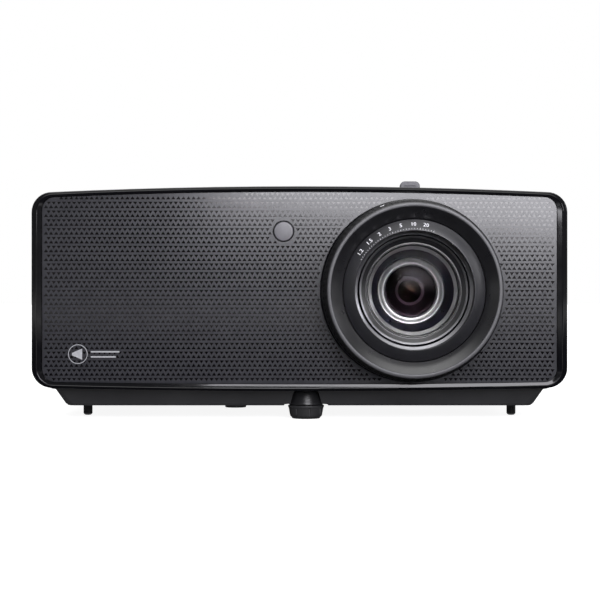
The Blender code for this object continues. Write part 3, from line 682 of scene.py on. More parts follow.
    @staticmethod
    def number_row(piece: bpy.types.Object, number: int) -> None:
        """Close the newest outline where its ends meet, and mark its points with a number.

        Args:
            piece: the piece open for editing.
            number: the number, from 1.
        """
        for closing in (True, False):
            bm = bmesh.from_edit_mesh(piece.data)
            rows = bm.verts.layers.int.get("row") or bm.verts.layers.int.new("row")
            for vert in bm.verts:
                if vert[rows] == 0:
                    vert.select_set(True)
                    if not closing:
                        vert[rows] = number
                else:
                    vert.select_set(False)
            bmesh.update_edit_mesh(piece.data)
            if closing:
                bpy.ops.mesh.remove_doubles(threshold=MERGE)

    @staticmethod
    def take_rows(piece: bpy.types.Object, *numbers: int) -> None:
        """Select whole outlines by the numbers that number_row gave them.

        Args:
            piece: the piece open for editing.
            numbers: the outlines to select.
        """
        bpy.ops.mesh.select_all(action="DESELECT")
        bm = bmesh.from_edit_mesh(piece.data)
        rows = bm.verts.layers.int["row"]
        for vert in bm.verts:
            if vert[rows] in numbers:
                vert.select_set(True)
        for edge in bm.edges:
            first, last = (v[rows] for v in edge.verts)
            if first == last and first in numbers:
                edge.select_set(True)
        bmesh.update_edit_mesh(piece.data)

    @staticmethod
    def block(name: str, low: Point, high: Point, bevel: float = 0.0) -> bpy.types.Object:
        """A block between two corners with its edges rounded off.

        Args:
            name: the block's name.
            low: its lowest corner.
            high: its highest corner.
            bevel: how far its edges are rounded.

        Returns:
            The block.
        """
        size = Vector(high) - Vector(low)
        centre = (Vector(high) + Vector(low)) / 2
        Bench.clear()
        bpy.ops.mesh.primitive_cube_add(size=1.0, location=centre * MM)
        piece = Bench.named(name)
        piece.scale = size * MM
        Bench.done(piece)
        if bevel:
            Bench.edit(piece)
            bpy.ops.mesh.select_all(action="SELECT")
            bpy.ops.mesh.bevel(
                affect="EDGES", offset=bevel * MM, segments=3, clamp_overlap=True
            )
            Bench.done(piece)
            Bench.smooth(piece, 40.0)
        return piece

    @staticmethod
    def rod(
        name: str, start: Point, axis: Axis, length: float, radius: float, sides: int = 32
    ) -> bpy.types.Object:
        """A round bar from a point along an axis, used as a drill or a stud.

        Args:
            name: the bar's name.
            start: the middle of its first end.
            axis: the way that it runs.
            length: its length.
            radius: its radius.
            sides: how many sides stand for its round.

        Returns:
            The bar.
        """
        middle = Vector(start) + Vector(axis.value) * (length / 2)
        turns = {Axis.X: (0.0, math.pi / 2, 0.0), Axis.Y: (math.pi / 2, 0.0, 0.0)}
        Bench.clear()
        bpy.ops.mesh.primitive_cylinder_add(
            vertices=sides,
            radius=radius * MM,
            depth=length * MM,
            location=middle * MM,
            rotation=turns.get(axis, (0.0, 0.0, 0.0)),
        )
        return Bench.done(Bench.named(name))

    @staticmethod
    def apply(piece: bpy.types.Object, kind: str, **settings: object) -> bpy.types.Object:
        """Add a modifier with its settings and apply it.

        Args:
            piece: the piece to change.
            kind: the modifier's type name.
            settings: the modifier's own settings.

        Returns:
            The same piece.
        """
        Bench.take(piece)
        modifier = piece.modifiers.new(kind.lower(), kind)
        for key, value in settings.items():
            setattr(modifier, key, value)
        bpy.ops.object.modifier_apply(modifier=modifier.name)
        return piece

    @staticmethod
    def cut(piece: bpy.types.Object, *tools: bpy.types.Object) -> None:
        """Cut tools out of a piece, and put the tools away.

        Args:
            piece: the piece to cut.
            tools: closed solids, which are removed afterwards.
        """
        for tool in tools:
            Bench.apply(piece, "BOOLEAN", operation="DIFFERENCE", object=tool, solver="EXACT")
            bpy.data.objects.remove(tool, do_unlink=True)

    @staticmethod
    def joined(name: str, parts: Sequence[bpy.types.Object]) -> bpy.types.Object:
        """Join parts into one piece.

        Args:
            name: the joined piece's name.
            parts: what is joined; the first one stays.

        Returns:
            The joined piece.
        """
        Bench.clear()
        for part in parts:
            part.select_set(True)
        bpy.context.view_layer.objects.active = parts[0]
        bpy.ops.object.join()
        piece = Bench.named(name)
        return Bench.done(piece)

    @staticmethod
    def copied(piece: bpy.types.Object, name: str, place: Matrix) -> bpy.types.Object:
        """A copy with its own mesh, moved by a matrix in metres.

        Args:
            piece: what is copied.
            name: the copy's name.
            place: where the copy goes.

        Returns:
            The copy.
        """
        Bench.take(piece)
        bpy.ops.object.duplicate(linked=False)
        made = Bench.named(name)
        made.matrix_world = place @ made.matrix_world
        return Bench.done(made)


def arc(centre: Flat, radius: float, start: float, stop: float, steps: int) -> list[Flat]:
    """Points on an arc between two angles in degrees, both ends included.

    Args:
        centre: the arc's centre.
        radius: its radius.
        start: the first angle.
        stop: the last angle.
        steps: how many steps lie between them.

    Returns:
        The points in order.
    """
    angles = [math.radians(start + (stop - start) * i / steps) for i in range(steps + 1)]
    return [(centre[0] + radius * math.cos(a), centre[1] + radius * math.sin(a)) for a in angles]


@dataclass(frozen=True)
class Section:
    """An outline of the shell: round corners, a top that falls and a bottom that rises."""

    half: float
    bottom: float
    top: float
    corner: float
    drop: float
    rise: float
    corner_steps: int = 9
    crown_steps: int = 12

    def outline(self) -> list[Flat]:
        """The outline's points, from the lower right corner round.

        Returns:
            (x, z) points in order.
        """
        flat = self.half - self.corner
        low = self.bottom + self.rise + self.corner
        high = self.top - self.drop - self.corner
        steps = [1 - 2 * i / self.crown_steps for i in range(1, self.crown_steps)]
        n, r = self.corner_steps, self.corner
        points = arc((flat, low), r, -90, 0, n) + arc((flat, high), r, 0, 90, n)
        points += [(flat * s, self.top - self.drop * s * s) for s in steps]
        points += arc((-flat, high), r, 90, 180, n) + arc((-flat, low), r, 180, 270, n)
        points += [(-flat * s, self.bottom + self.rise * s * s) for s in steps]
        return points

    def mixed(self, other: "Section", share: float) -> "Section":
        """The outline that lies a share of the way to another one.

        Args:
            other: the outline to move towards.
            share: 0 for this one, 1 for the other.

        Returns:
            The outline between them.
        """
        ours = (self.half, self.bottom, self.top, self.corner, self.drop, self.rise)
        theirs = (other.half, other.bottom, other.top, other.corner, other.drop, other.rise)
        return Section(*(a + (b - a) * share for a, b in zip(ours, theirs)))

    def at(self, y: float) -> list[Point]:
        """The outline laid in the plane at y."""
        return [(x, y, z) for x, z in self.outline()]


def settle(
    piece: bpy.types.Object, body: str, slot: str, *nodes: str, finish: Finish | None = None
) -> bpy.types.Object:
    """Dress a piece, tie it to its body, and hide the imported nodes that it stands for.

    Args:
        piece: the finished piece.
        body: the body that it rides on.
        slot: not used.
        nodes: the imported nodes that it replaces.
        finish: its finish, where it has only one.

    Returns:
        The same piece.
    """
    if finish is not None:
        finish.dress(piece)
    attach(piece, body)
    if nodes:
        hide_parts(*nodes)
    log.info("%s rides on %s, %d faces", piece.name, body, len(piece.data.polygons))
    return piece


# ---------------------------------------------------------------- sub-assemblies


@dataclass
class FrontFrame:
    """Gloss frame and dimpled panel of the front, with the infrared window."""

    front_y: float = -142.0
    back_y: float = -128.0
    panel_front_y: float = -140.3
    panel_back_y: float = -137.3
    lens: Flat = (83.7, 97.1)
    lens_hole: float = 68.5
    window: Flat = (-11.8, 141.4)
    window_hole: float = 8.1
    pitch: float = 3.8
    row: float = 3.29
    dimple_depth: float = 0.32
    dimple_start: float = 0.25
    dimple_radius: float = 1.95
    dimple_height: float = 0.8
    dimple_taper: float = 0.9
    field_shift: Flat = (-1.0, 0.4)
    edge_margin: float = 0.5
    lens_margin: float = 0.6
    window_margin: float = 1.2
    mark: Point = (-165.4, 0.0, 49.7)
    mark_thick: float = 0.1

    outer: Section = Section(200.0, 22.1, 175.0, 15.0, 4.3, 2.4)
    full_edge: Section = Section(199.75, 22.3, 174.8, 14.8, 4.3, 2.4)
    shoulder: Section = Section(199.2, 22.7, 174.4, 14.4, 4.3, 2.4)
    slope: Section = Section(197.0, 23.5, 173.5, 13.0, 4.3, 2.4)
    ridge: Section = Section(196.5, 23.9, 173.1, 12.7, 4.3, 2.4)
    rim: Section = Section(196.0, 24.3, 172.7, 12.4, 4.3, 2.4)
    seat: Section = Section(192.3, 27.1, 171.0, 9.8, 3.9, 1.6)
    edge: Section = Section(192.0, 27.4, 170.7, 9.5, 3.9, 1.6)

    def build_bezel(self) -> None:
        """Loft the frame: flank, rounded shoulder, fine ridge and the inner slope."""
        y = self.front_y
        loops = [
            self.outer.at(self.back_y),
            self.outer.at(y + 1.9),
            self.full_edge.at(y + 1.25),
            self.shoulder.at(y + 0.8),
            self.shoulder.mixed(self.slope, 0.12).at(y + 0.75),
            self.shoulder.mixed(self.slope, 0.88).at(y + 0.45),
            self.slope.at(y + 0.4),
            self.ridge.at(y),
            self.rim.at(y + 0.38),
            self.rim.mixed(self.seat, 0.08).at(y + 0.41),
            self.rim.mixed(self.seat, 0.94).at(y + 0.53),
            self.seat.at(y + 0.56),
            self.seat.at(self.back_y - 0.1),
        ]
        bezel = Bench.lofted("front_frame", loops, closed=True)
        Bench.smooth(bezel, 40.0)
        settle(bezel, "root", "gloss_black_abs", "front_bezel", finish=GLOSS_BLACK)

    def dimple(self, name: str, pointing_up: bool) -> bpy.types.Object:
        """One dimple as a solid: a wide flat triangle that narrows to its floor.

        Args:
            name: the solid's name.
            pointing_up: whether its point is at the top.

        Returns:
            The solid, centred on the origin in x and z, reaching into the panel.
        """
        Bench.clear()
        bpy.ops.mesh.primitive_circle_add(
            vertices=3, radius=self.dimple_radius * MM, fill_type="NGON"
        )
        piece = Bench.named(name)
        turn = 0.0 if pointing_up else math.pi
        piece.rotation_euler = (math.pi / 2, turn, 0.0)
        piece.location = (0.0, (self.panel_front_y - self.dimple_start) * MM, 0.0)
        Bench.done(piece)
        Bench.edit(piece)
        bpy.ops.mesh.select_all(action="SELECT")
        middle = (0.0, self.panel_front_y * MM, 0.0)
        bpy.ops.transform.resize(value=(1.0, 1.0, self.dimple_height), center_override=middle)
        depth = (self.dimple_depth + self.dimple_start) * MM
        bpy.ops.mesh.extrude_region_move(TRANSFORM_OT_translate={"value": (0.0, depth, 0.0)})
        taper = self.dimple_taper
        bpy.ops.transform.resize(value=(taper, 1.0, taper), center_override=middle)
        Bench.weld()
        Bench.done(piece)
        PANEL_FACET.dress(piece)
        return piece

    def dimple_field(self) -> bpy.types.Object:
        """Every dimple of the panel, in rows that alternate in place and in direction.

        Returns:
            One object holding all the solids.
        """
        rows = []
        columns = int(2 * self.edge.half / self.pitch) + 2
        count = int((self.edge.top - self.edge.bottom) / (2 * self.row)) + 1
        for kind in (0, 1):
            seed = self.dimple(f"dimple_row_{kind}", pointing_up=kind == 0)
            left = -self.edge.half + self.pitch * (0.5 * kind) + self.field_shift[0]
            low = self.edge.bottom + self.row * kind + self.field_shift[1]
            Bench.edit(seed)
            bpy.ops.mesh.select_all(action="SELECT")
            bpy.ops.transform.translate(value=(left * MM, 0.0, low * MM))
            Bench.done(seed)
            for size, offset in (
                (columns, (self.pitch * MM, 0.0, 0.0)),
                (count, (0.0, 0.0, 2 * self.row * MM)),
            ):
                Bench.apply(
                    seed,
                    "ARRAY",
                    count=size,
                    use_relative_offset=False,
                    use_constant_offset=True,
                    constant_offset_displace=offset,
                )
            rows.append(seed)
        return Bench.joined("dimple_field", rows)

    def kept_clear(self, place: Vector) -> bool:
        """Whether a dimple here would touch the panel's edge, the lens or the window.

        Args:
            place: a place on the panel, in millimetres.

        Returns:
            True where the panel stays plain.
        """
        flat = Vector((place.x, place.z))
        near_lens = (flat - Vector(self.lens)).length < self.lens_hole + self.lens_margin
        near_window = (flat - Vector(self.window)).length < self.window_hole + self.window_margin
        margin = self.edge_margin
        half, corner = self.edge.half - margin, self.edge.corner
        share = place.x / (self.edge.half - corner)
        top = self.edge.top - self.edge.drop * share * share - margin
        bottom = self.edge.bottom + self.edge.rise * share * share + margin
        beyond = abs(place.x) > half or not bottom < place.z < top
        dx = abs(place.x) - (half - corner)
        dz = max(place.z - (top - corner), bottom + corner - place.z)
        rounded = dx > 0 and dz > 0 and math.hypot(dx, dz) > corner
        return near_lens or near_window or beyond or rounded

    def build_panel(self) -> None:
        """Cut the panel's outline, its two holes and its field of dimples."""
        loops = [self.edge.at(self.panel_front_y), self.edge.at(self.panel_back_y)]
        panel = Bench.lofted("dimpled_panel", loops, closed=False)
        PANEL_GROUND.dress(panel)
        start = self.panel_front_y - 3.0
        lens = Bench.rod(
            "lens_drill", (self.lens[0], start, self.lens[1]), Axis.Y, 8.0, self.lens_hole, 112
        )
        window = Bench.rod(
            "window_drill", (self.window[0], start, self.window[1]), Axis.Y, 8.0,
            self.window_hole, 48,
        )
        Bench.cut(panel, lens, window)
        field = self.dimple_field()
        Bench.edit(field)
        Bench.pick(field, lambda place, _: self.kept_clear(place), "FACE")
        bpy.ops.mesh.select_linked()
        bpy.ops.mesh.delete(type="FACE")
        Bench.done(field)
        Bench.apply(panel, "BOOLEAN", operation="DIFFERENCE", object=field, solver="MANIFOLD")
        bpy.data.objects.remove(field, do_unlink=True)
        self.polish_dimples(panel)
        Bench.smooth(panel, 20.0)
        settle(panel, "root", "dimpled_panel_abs", "front_panel")

    def polish_dimples(self, panel: bpy.types.Object) -> None:
        """Give the walls and floors of the dimples their own finish.

        Args:
            panel: the panel with its dimples cut.
        """
        facet = PANEL_FACET.made()
        if panel.data.materials.find(facet.name) < 0:
            panel.data.materials.append(facet)
        Bench.edit(panel)

        def in_dimple(place: Vector, _: Vector) -> bool:
            """Whether a face's middle is below the panel's face, in the dimpled field."""
            deep = self.panel_front_y + 0.02 < place.y < self.panel_back_y - 1.0
            return deep and not self.kept_clear(place)

        Bench.pick(panel, in_dimple)
        panel.active_material_index = panel.data.materials.find(facet.name)
        bpy.ops.object.material_slot_assign()
        Bench.done(panel)

    def build_window(self) -> None:
        """Turn the satin infrared window with its rounded edge."""
        y = self.panel_front_y
        profile = [(0.0, y - 0.5), (6.6, y - 0.45), (7.1, y - 0.2), (7.3, y + 0.3)]
        profile += [(7.3, y + 6.0), (0.0, y + 6.0)]
        window = Bench.turned(
            "infrared_window", profile, (self.window[0], 0.0, self.window[1]), steps=64
        )
        settle(window, "root", "smoke_window_pc", "ir_window", finish=IR_WINDOW)

    def build_mark(self) -> None:
        """Printed mark: a ring round a plain cone of light, and two short bars beside it."""
        y = self.panel_front_y - 0.08
        back = y + self.mark_thick
        profile = [(6.75, y), (7.25, y), (7.25, back), (6.75, back)]
        ring = Bench.turned("mark_ring", profile, self.mark, steps=72, rounding=0.0)
        shapes = [((-4.4, -0.9), (-4.4, 0.9), (3.2, 4.2), (3.2, -4.2))]
        for low, right in ((1.2, 31.0), (-2.6, 28.4)):
            top = low + 1.1
            shapes.append(((9.6, low), (right, low), (right, top), (9.6, top)))
        plates = [self.mark_plate(f"mark_{i}", shape, y) for i, shape in enumerate(shapes)]
        mark = Bench.joined("printed_mark", [ring, *plates])
        settle(mark, "root", "dimpled_panel_abs", finish=PALE_INK)

    def mark_plate(self, name: str, corners: Sequence[Flat], y: float) -> bpy.types.Object:
        """A thin printed shape at y, from its corners round the mark's centre.

        Args:
            name: the shape's name.
            corners: its corners, from the centre.
            y: where its face lies.

        Returns:
            The shape.
        """
        front = [(self.mark[0] + u, y, self.mark[2] + v) for u, v in corners]
        back = [(x, y + self.mark_thick, z) for x, _, z in front]
        return Bench.lofted(name, [front, back], closed=False)


@dataclass
class Lens:
    """The lens: fixed ring, focus ring, lettered cone, cells and glasses."""

    axis: Point = (83.7, 0.0, 97.1)
    rib_inset: float = 0.35
    mark_angle: float = -20.0
    cone_middle: Flat = (47.75, -172.7)
    cone_slope: Flat = (7.9, 4.2)
    grip_slope: Flat = (22.0, 2.4)
    mark_place: Flat = (66.45, -154.8)
    number_size: float = 4.2
    numbers: tuple[tuple[str, float], ...] = (
        ("1.2", -55.0), ("1.5", -43.0), ("2", -32.0), ("3", -22.0), ("5", -12.0),
        ("10", -1.0), ("20", 10.0),
    )
    tick_count: int = 31
    tick_start: float = -60.0
    tick_step: float = 2.6

    def build_rings(self) -> None:
        """Turn the fixed ring, the focus ring with its ribs, and the lettered cone."""
        fixed = [
            (68.2, -128.0), (68.2, -145.5), (67.9, -147.4), (67.0, -149.0), (65.0, -149.0),
            (62.0, -146.0), (62.0, -136.0), (46.5, -136.0), (46.5, -132.0), (62.0, -132.0),
            (62.0, -128.0),
        ]
        settle(
            Bench.turned("lens_base_ring", fixed, self.axis, steps=128),
            "root", "gloss_black_abs", "lens_bezel", finish=GLOSS_BLACK,
        )
        focus = [
            (67.2, -149.4), (66.6, -153.0), (66.4, -154.5), (64.2, -174.5), (64.0, -176.6),
            (63.3, -178.0), (61.2, -178.0), (60.7, -177.4), (52.4, -170.8), (52.4, -164.6),
            (46.6, -164.6), (46.6, -140.0), (50.0, -140.0), (50.0, -161.0), (60.2, -172.0),
            (62.0, -172.0), (64.4, -152.0), (64.4, -149.4),
        ]
        ring = Bench.turned("focus_grip", focus, self.axis, steps=180)
        self.cut_ribs(ring)
        BLACK_ANODISED.dress(ring)
        self.brighten(ring, GRIP, 62.4, 67.5, -149.0)
        # The rim's lighter grey is partly a painted highlight.
        self.brighten(ring, RIM_HIGHLIGHT_GREY, 60.8, 63.9, -176.9)
        settle(ring, "focus", "black_anodised", "focus_ring")
        cone = [
            (52.0, -170.0), (51.7, -170.6), (43.8, -174.8), (43.4, -174.4), (43.4, -165.0),
            (52.0, -165.0),
        ]
        settle(
            Bench.turned("scale_cone", cone, self.axis, steps=128),
            "focus", "satin_lens_ring", "lens_name_ring", finish=SATIN_RING,
        )

    def cut_ribs(self, ring: bpy.types.Object) -> None:
        """Sink every other strip of the grip, so that ribs stand between them.

        Args:
            ring: the turned focus ring.
        """
        Bench.edit(ring)

        def in_groove(place: Vector, _: Vector) -> bool:
            """Whether a face of the grip lies in a strip that is sunk."""
            out = Vector((place.x - self.axis[0], place.z - self.axis[2]))
            on_grip = out.length > 63.5 and -173.5 < place.y < -155.5
            step = round(math.degrees(math.atan2(out.y, out.x)) / 2.0 - 0.5)
            return on_grip and step % 2 == 0

        if Bench.pick(ring, in_groove):
            bpy.ops.mesh.inset(thickness=0.25 * MM, use_individual=True)
            bpy.ops.transform.shrink_fatten(value=-self.rib_inset * MM)
        Bench.done(ring)
        Bench.smooth(ring, 35.0)

    def on_cone(self, angle: float, along: float, lift: float) -> Matrix:
        """The place of a printed character on the cone.

        Args:
            angle: degrees clockwise from straight up, seen from the front.
            along: how far it is from the cone's middle, outwards.
            lift: how far it stands off the surface.

        Returns:
            A matrix in metres whose X runs along the arc and whose Y points outwards.
        """
        lean = math.atan2(self.cone_slope[1], self.cone_slope[0])
        turn = Matrix.Rotation(math.radians(angle), 4, "Y")
        radius = self.cone_middle[0] + along * math.cos(lean)
        depth = self.cone_middle[1] + along * math.sin(lean) - lift
        base = Matrix.Translation((0.0, depth * MM, radius * MM))
        upright = Matrix.Rotation(math.pi / 2 - lean, 4, "X")
        centre = Matrix.Translation(Vector(self.axis) * MM)
        return centre @ turn @ base @ upright

    def number(self, name: str, text: str, angle: float) -> bpy.types.Object:
        """One engraved number of the distance scale, in plain type.

        Args:
            name: the piece's name.
            text: the number.
            angle: its place round the cone, in degrees.

        Returns:
            The number as a mesh.
        """
        Bench.clear()
        bpy.ops.object.text_add()
        letter = bpy.context.object
        letter.data.body = text
        letter.data.size = self.number_size * MM
        letter.data.align_x = "CENTER"
        letter.data.align_y = "CENTER"
        letter.data.extrude = 0.03 * MM
        letter.data.resolution_u = 3
        bpy.ops.object.convert(target="MESH")
        piece = Bench.named(name)
        Bench.edit(piece)
        Bench.weld()
        bpy.ops.object.mode_set(mode="OBJECT")
        piece.matrix_world = self.on_cone(angle, 0.4, 0.05)
        return Bench.done(piece)

    def build_scale(self) -> None:
        """Print the distance scale on the cone, and the index mark on the focus ring."""
        parts = [
            self.number(f"scale_number_{i}", text, angle)
            for i, (text, angle) in enumerate(self.numbers)
        ]
        for i in range(self.tick_count):
            half = 0.5 if i % 5 == 0 else 0.3
            tick = Bench.block(f"scale_tick_{i}", (-0.12, -half, 0.0), (0.12, half, 0.06))
            tick.matrix_world = self.on_cone(self.tick_start + self.tick_step * i, -3.4, 0.06)
            parts.append(Bench.done(tick))
        scale = Bench.joined("focus_scale", parts)
        settle(scale, "focus", "satin_lens_ring", finish=SCALE_INK)
        index = Bench.block("index_mark", (-1.5, -0.05, -158.0), (1.5, 0.1, -152.5), 0.04)
        out, along = self.mark_place
        index.matrix_world = (
            Matrix.Translation(Vector(self.axis) * MM)
            @ Matrix.Rotation(math.radians(self.mark_angle), 4, "Y")
            @ Matrix.Translation((0.0, along * MM, out * MM))
            @ Matrix.Rotation(math.atan2(self.grip_slope[1], self.grip_slope[0]), 4, "X")
            @ Matrix.Rotation(-math.pi / 2, 4, "X")
            @ Matrix.Translation((0.0, 0.0, 155.25 * MM))
        )
        settle(Bench.done(index), "focus", "black_anodised", finish=SCALE_INK)

    def brighten(
        self, piece: bpy.types.Object, finish: Finish, inner: float, outer: float, deepest: float
    ) -> None:
        """Give the faces between two radii, in front of a depth, another finish.

        Args:
            piece: a turned piece of the lens.
            finish: what those faces get.
            inner: the smallest distance from the lens axis.
            outer: the largest.
            deepest: how far back along Y the faces may lie.
        """
        piece.data.materials.append(finish.made())
        Bench.edit(piece)

        def within(place: Vector, _: Vector) -> bool:
            """Whether a face's middle is between the two radii and in front of the depth."""
            out = Vector((place.x - self.axis[0], place.z - self.axis[2])).length
            return inner < out < outer and place.y < deepest

        Bench.pick(piece, within)
        piece.active_material_index = len(piece.data.materials) - 1
        bpy.ops.object.material_slot_assign()
        Bench.done(piece)

    def build_cells(self) -> None:
        """Turn the barrel, the two stepped cells, the bright rings between them and the glass."""
        barrel = [
            (46.0, -164.0), (46.0, -30.0), (56.0, -30.0), (56.0, -22.3), (44.4, -22.3),
            (44.4, -4.0), (17.0, -4.0), (17.0, -12.0), (41.0, -12.0), (41.0, -161.6),
            (41.3, -162.2), (44.0, -163.8), (44.6, -164.0),
        ]
        tube = Bench.turned("barrel", barrel, self.axis, steps=96)
        BLACK_ANODISED.dress(tube)
        self.brighten(tube, STEP_RING, 41.1, 45.9, -161.9)
        settle(tube, "root", "black_anodised", "lens_barrel")
        cell = [
            (40.1, -162.0), (39.6, -163.0), (38.6, -162.2), (35.2, -160.4), (34.6, -160.5),
            (34.3, -160.9), (33.8, -160.1), (33.8, -153.2), (32.7, -152.8), (30.5, -151.0),
            (30.2, -150.4), (25.3, -138.0), (25.3, -120.0), (27.4, -120.0), (27.4, -128.0),
            (40.4, -128.0), (40.4, -152.0), (40.1, -153.0),
        ]
        front_cell = Bench.turned("front_cell", cell, self.axis, steps=128, rounding=0.18)
        BLACK_ANODISED.dress(front_cell)
        self.brighten(front_cell, STEP_RING, 38.5, 40.0, -162.0)
        self.brighten(front_cell, BRIGHT_RING, 33.9, 34.5, -160.0)
        self.brighten(front_cell, BRIGHT_RING, 30.4, 33.0, -150.5)
        # The blue tint of this wall is a painted coating reflection.
        self.brighten(front_cell, BLUE_REFLECTION_ANODISED, 25.4, 30.3, -137.0)
        settle(front_cell, "front_lens_group", "black_anodised", "front_lens_cell")
        zoom = [
            (24.9, -133.0), (24.5, -133.8), (23.0, -133.0), (22.6, -132.4), (20.8, -131.6),
            (20.4, -132.0), (19.2, -130.4), (19.2, -124.6), (17.4, -124.6), (10.8, -119.8),
            (8.9, -119.0), (8.9, -113.6), (30.0, -102.0), (36.0, -98.0), (36.0, -70.0),
            (40.6, -70.0), (40.6, -112.0), (24.9, -112.0),
        ]
        zoom_cell = Bench.turned("zoom_cell", zoom, self.axis, steps=96, rounding=0.18)
        BLACK_ANODISED.dress(zoom_cell)
        self.brighten(zoom_cell, BRIGHT_RING, 19.3, 24.8, -129.0)
        # The plum tint of this edge paint is a painted coating reflection.
        self.brighten(zoom_cell, PLUM_REFLECTION_PAINT, 10.9, 19.1, -119.0)
        self.brighten(zoom_cell, BRIGHT_RING, 9.0, 10.9, -118.0)
        settle(zoom_cell, "zoom_lens_group", "black_anodised", "zoom_lens_cell")
        front = self.meniscus("front_glass", 33.4, (-160.4, -156.6), 120.0)
        settle(
            front, "front_lens_group", "optical_glass", "front_lens_glass", finish=CLEAR_GLASS
        )
        inner = self.meniscus("zoom_glass", 18.9, (-130.2, -127.9), 60.0)
        # The plum tint of this glass is a painted coating reflection.
        settle(
            inner, "zoom_lens_group", "coated_glass", "zoom_lens_glass", finish=PLUM_REFLECTION_GLASS
        )
        pupil = Bench.turned(
            "pupil_glass",
            [(0.0, -118.9), (3.0, -118.7), (4.6, -118.3), (6.9, -117.4), (8.6, -116.6),
             (8.6, -114.4), (0.0, -114.4)],
            self.axis, steps=64, rounding=0.0,
        )
        # This opaque dark plum glass is painted shade of the lens's depth and a painted coating
        # reflection.
        settle(
            pupil, "zoom_lens_group", "coated_glass", "relay_lens_glass", finish=PUPIL_GLASS_PAINTED_DARK
        )

    def meniscus(
        self, name: str, radius: float, faces: Flat, curvature: float
    ) -> bpy.types.Object:
        """A curved glass from its radius, the places of its two faces and its curvature.

        Args:
            name: the glass's name.
            radius: its radius.
            faces: where the middles of its two faces lie along Y.
            curvature: the radius of its bend.

        Returns:
            The glass.
        """
        steps = 9
        radii = [radius * i / steps for i in range(steps + 1)]
        front = [(r, faces[0] + r * r / (2 * curvature)) for r in radii]
        back = [(r, faces[1] + r * r / (2 * curvature)) for r in reversed(radii)]
        return Bench.turned(name, front + back, self.axis, steps=96, rounding=0.0)


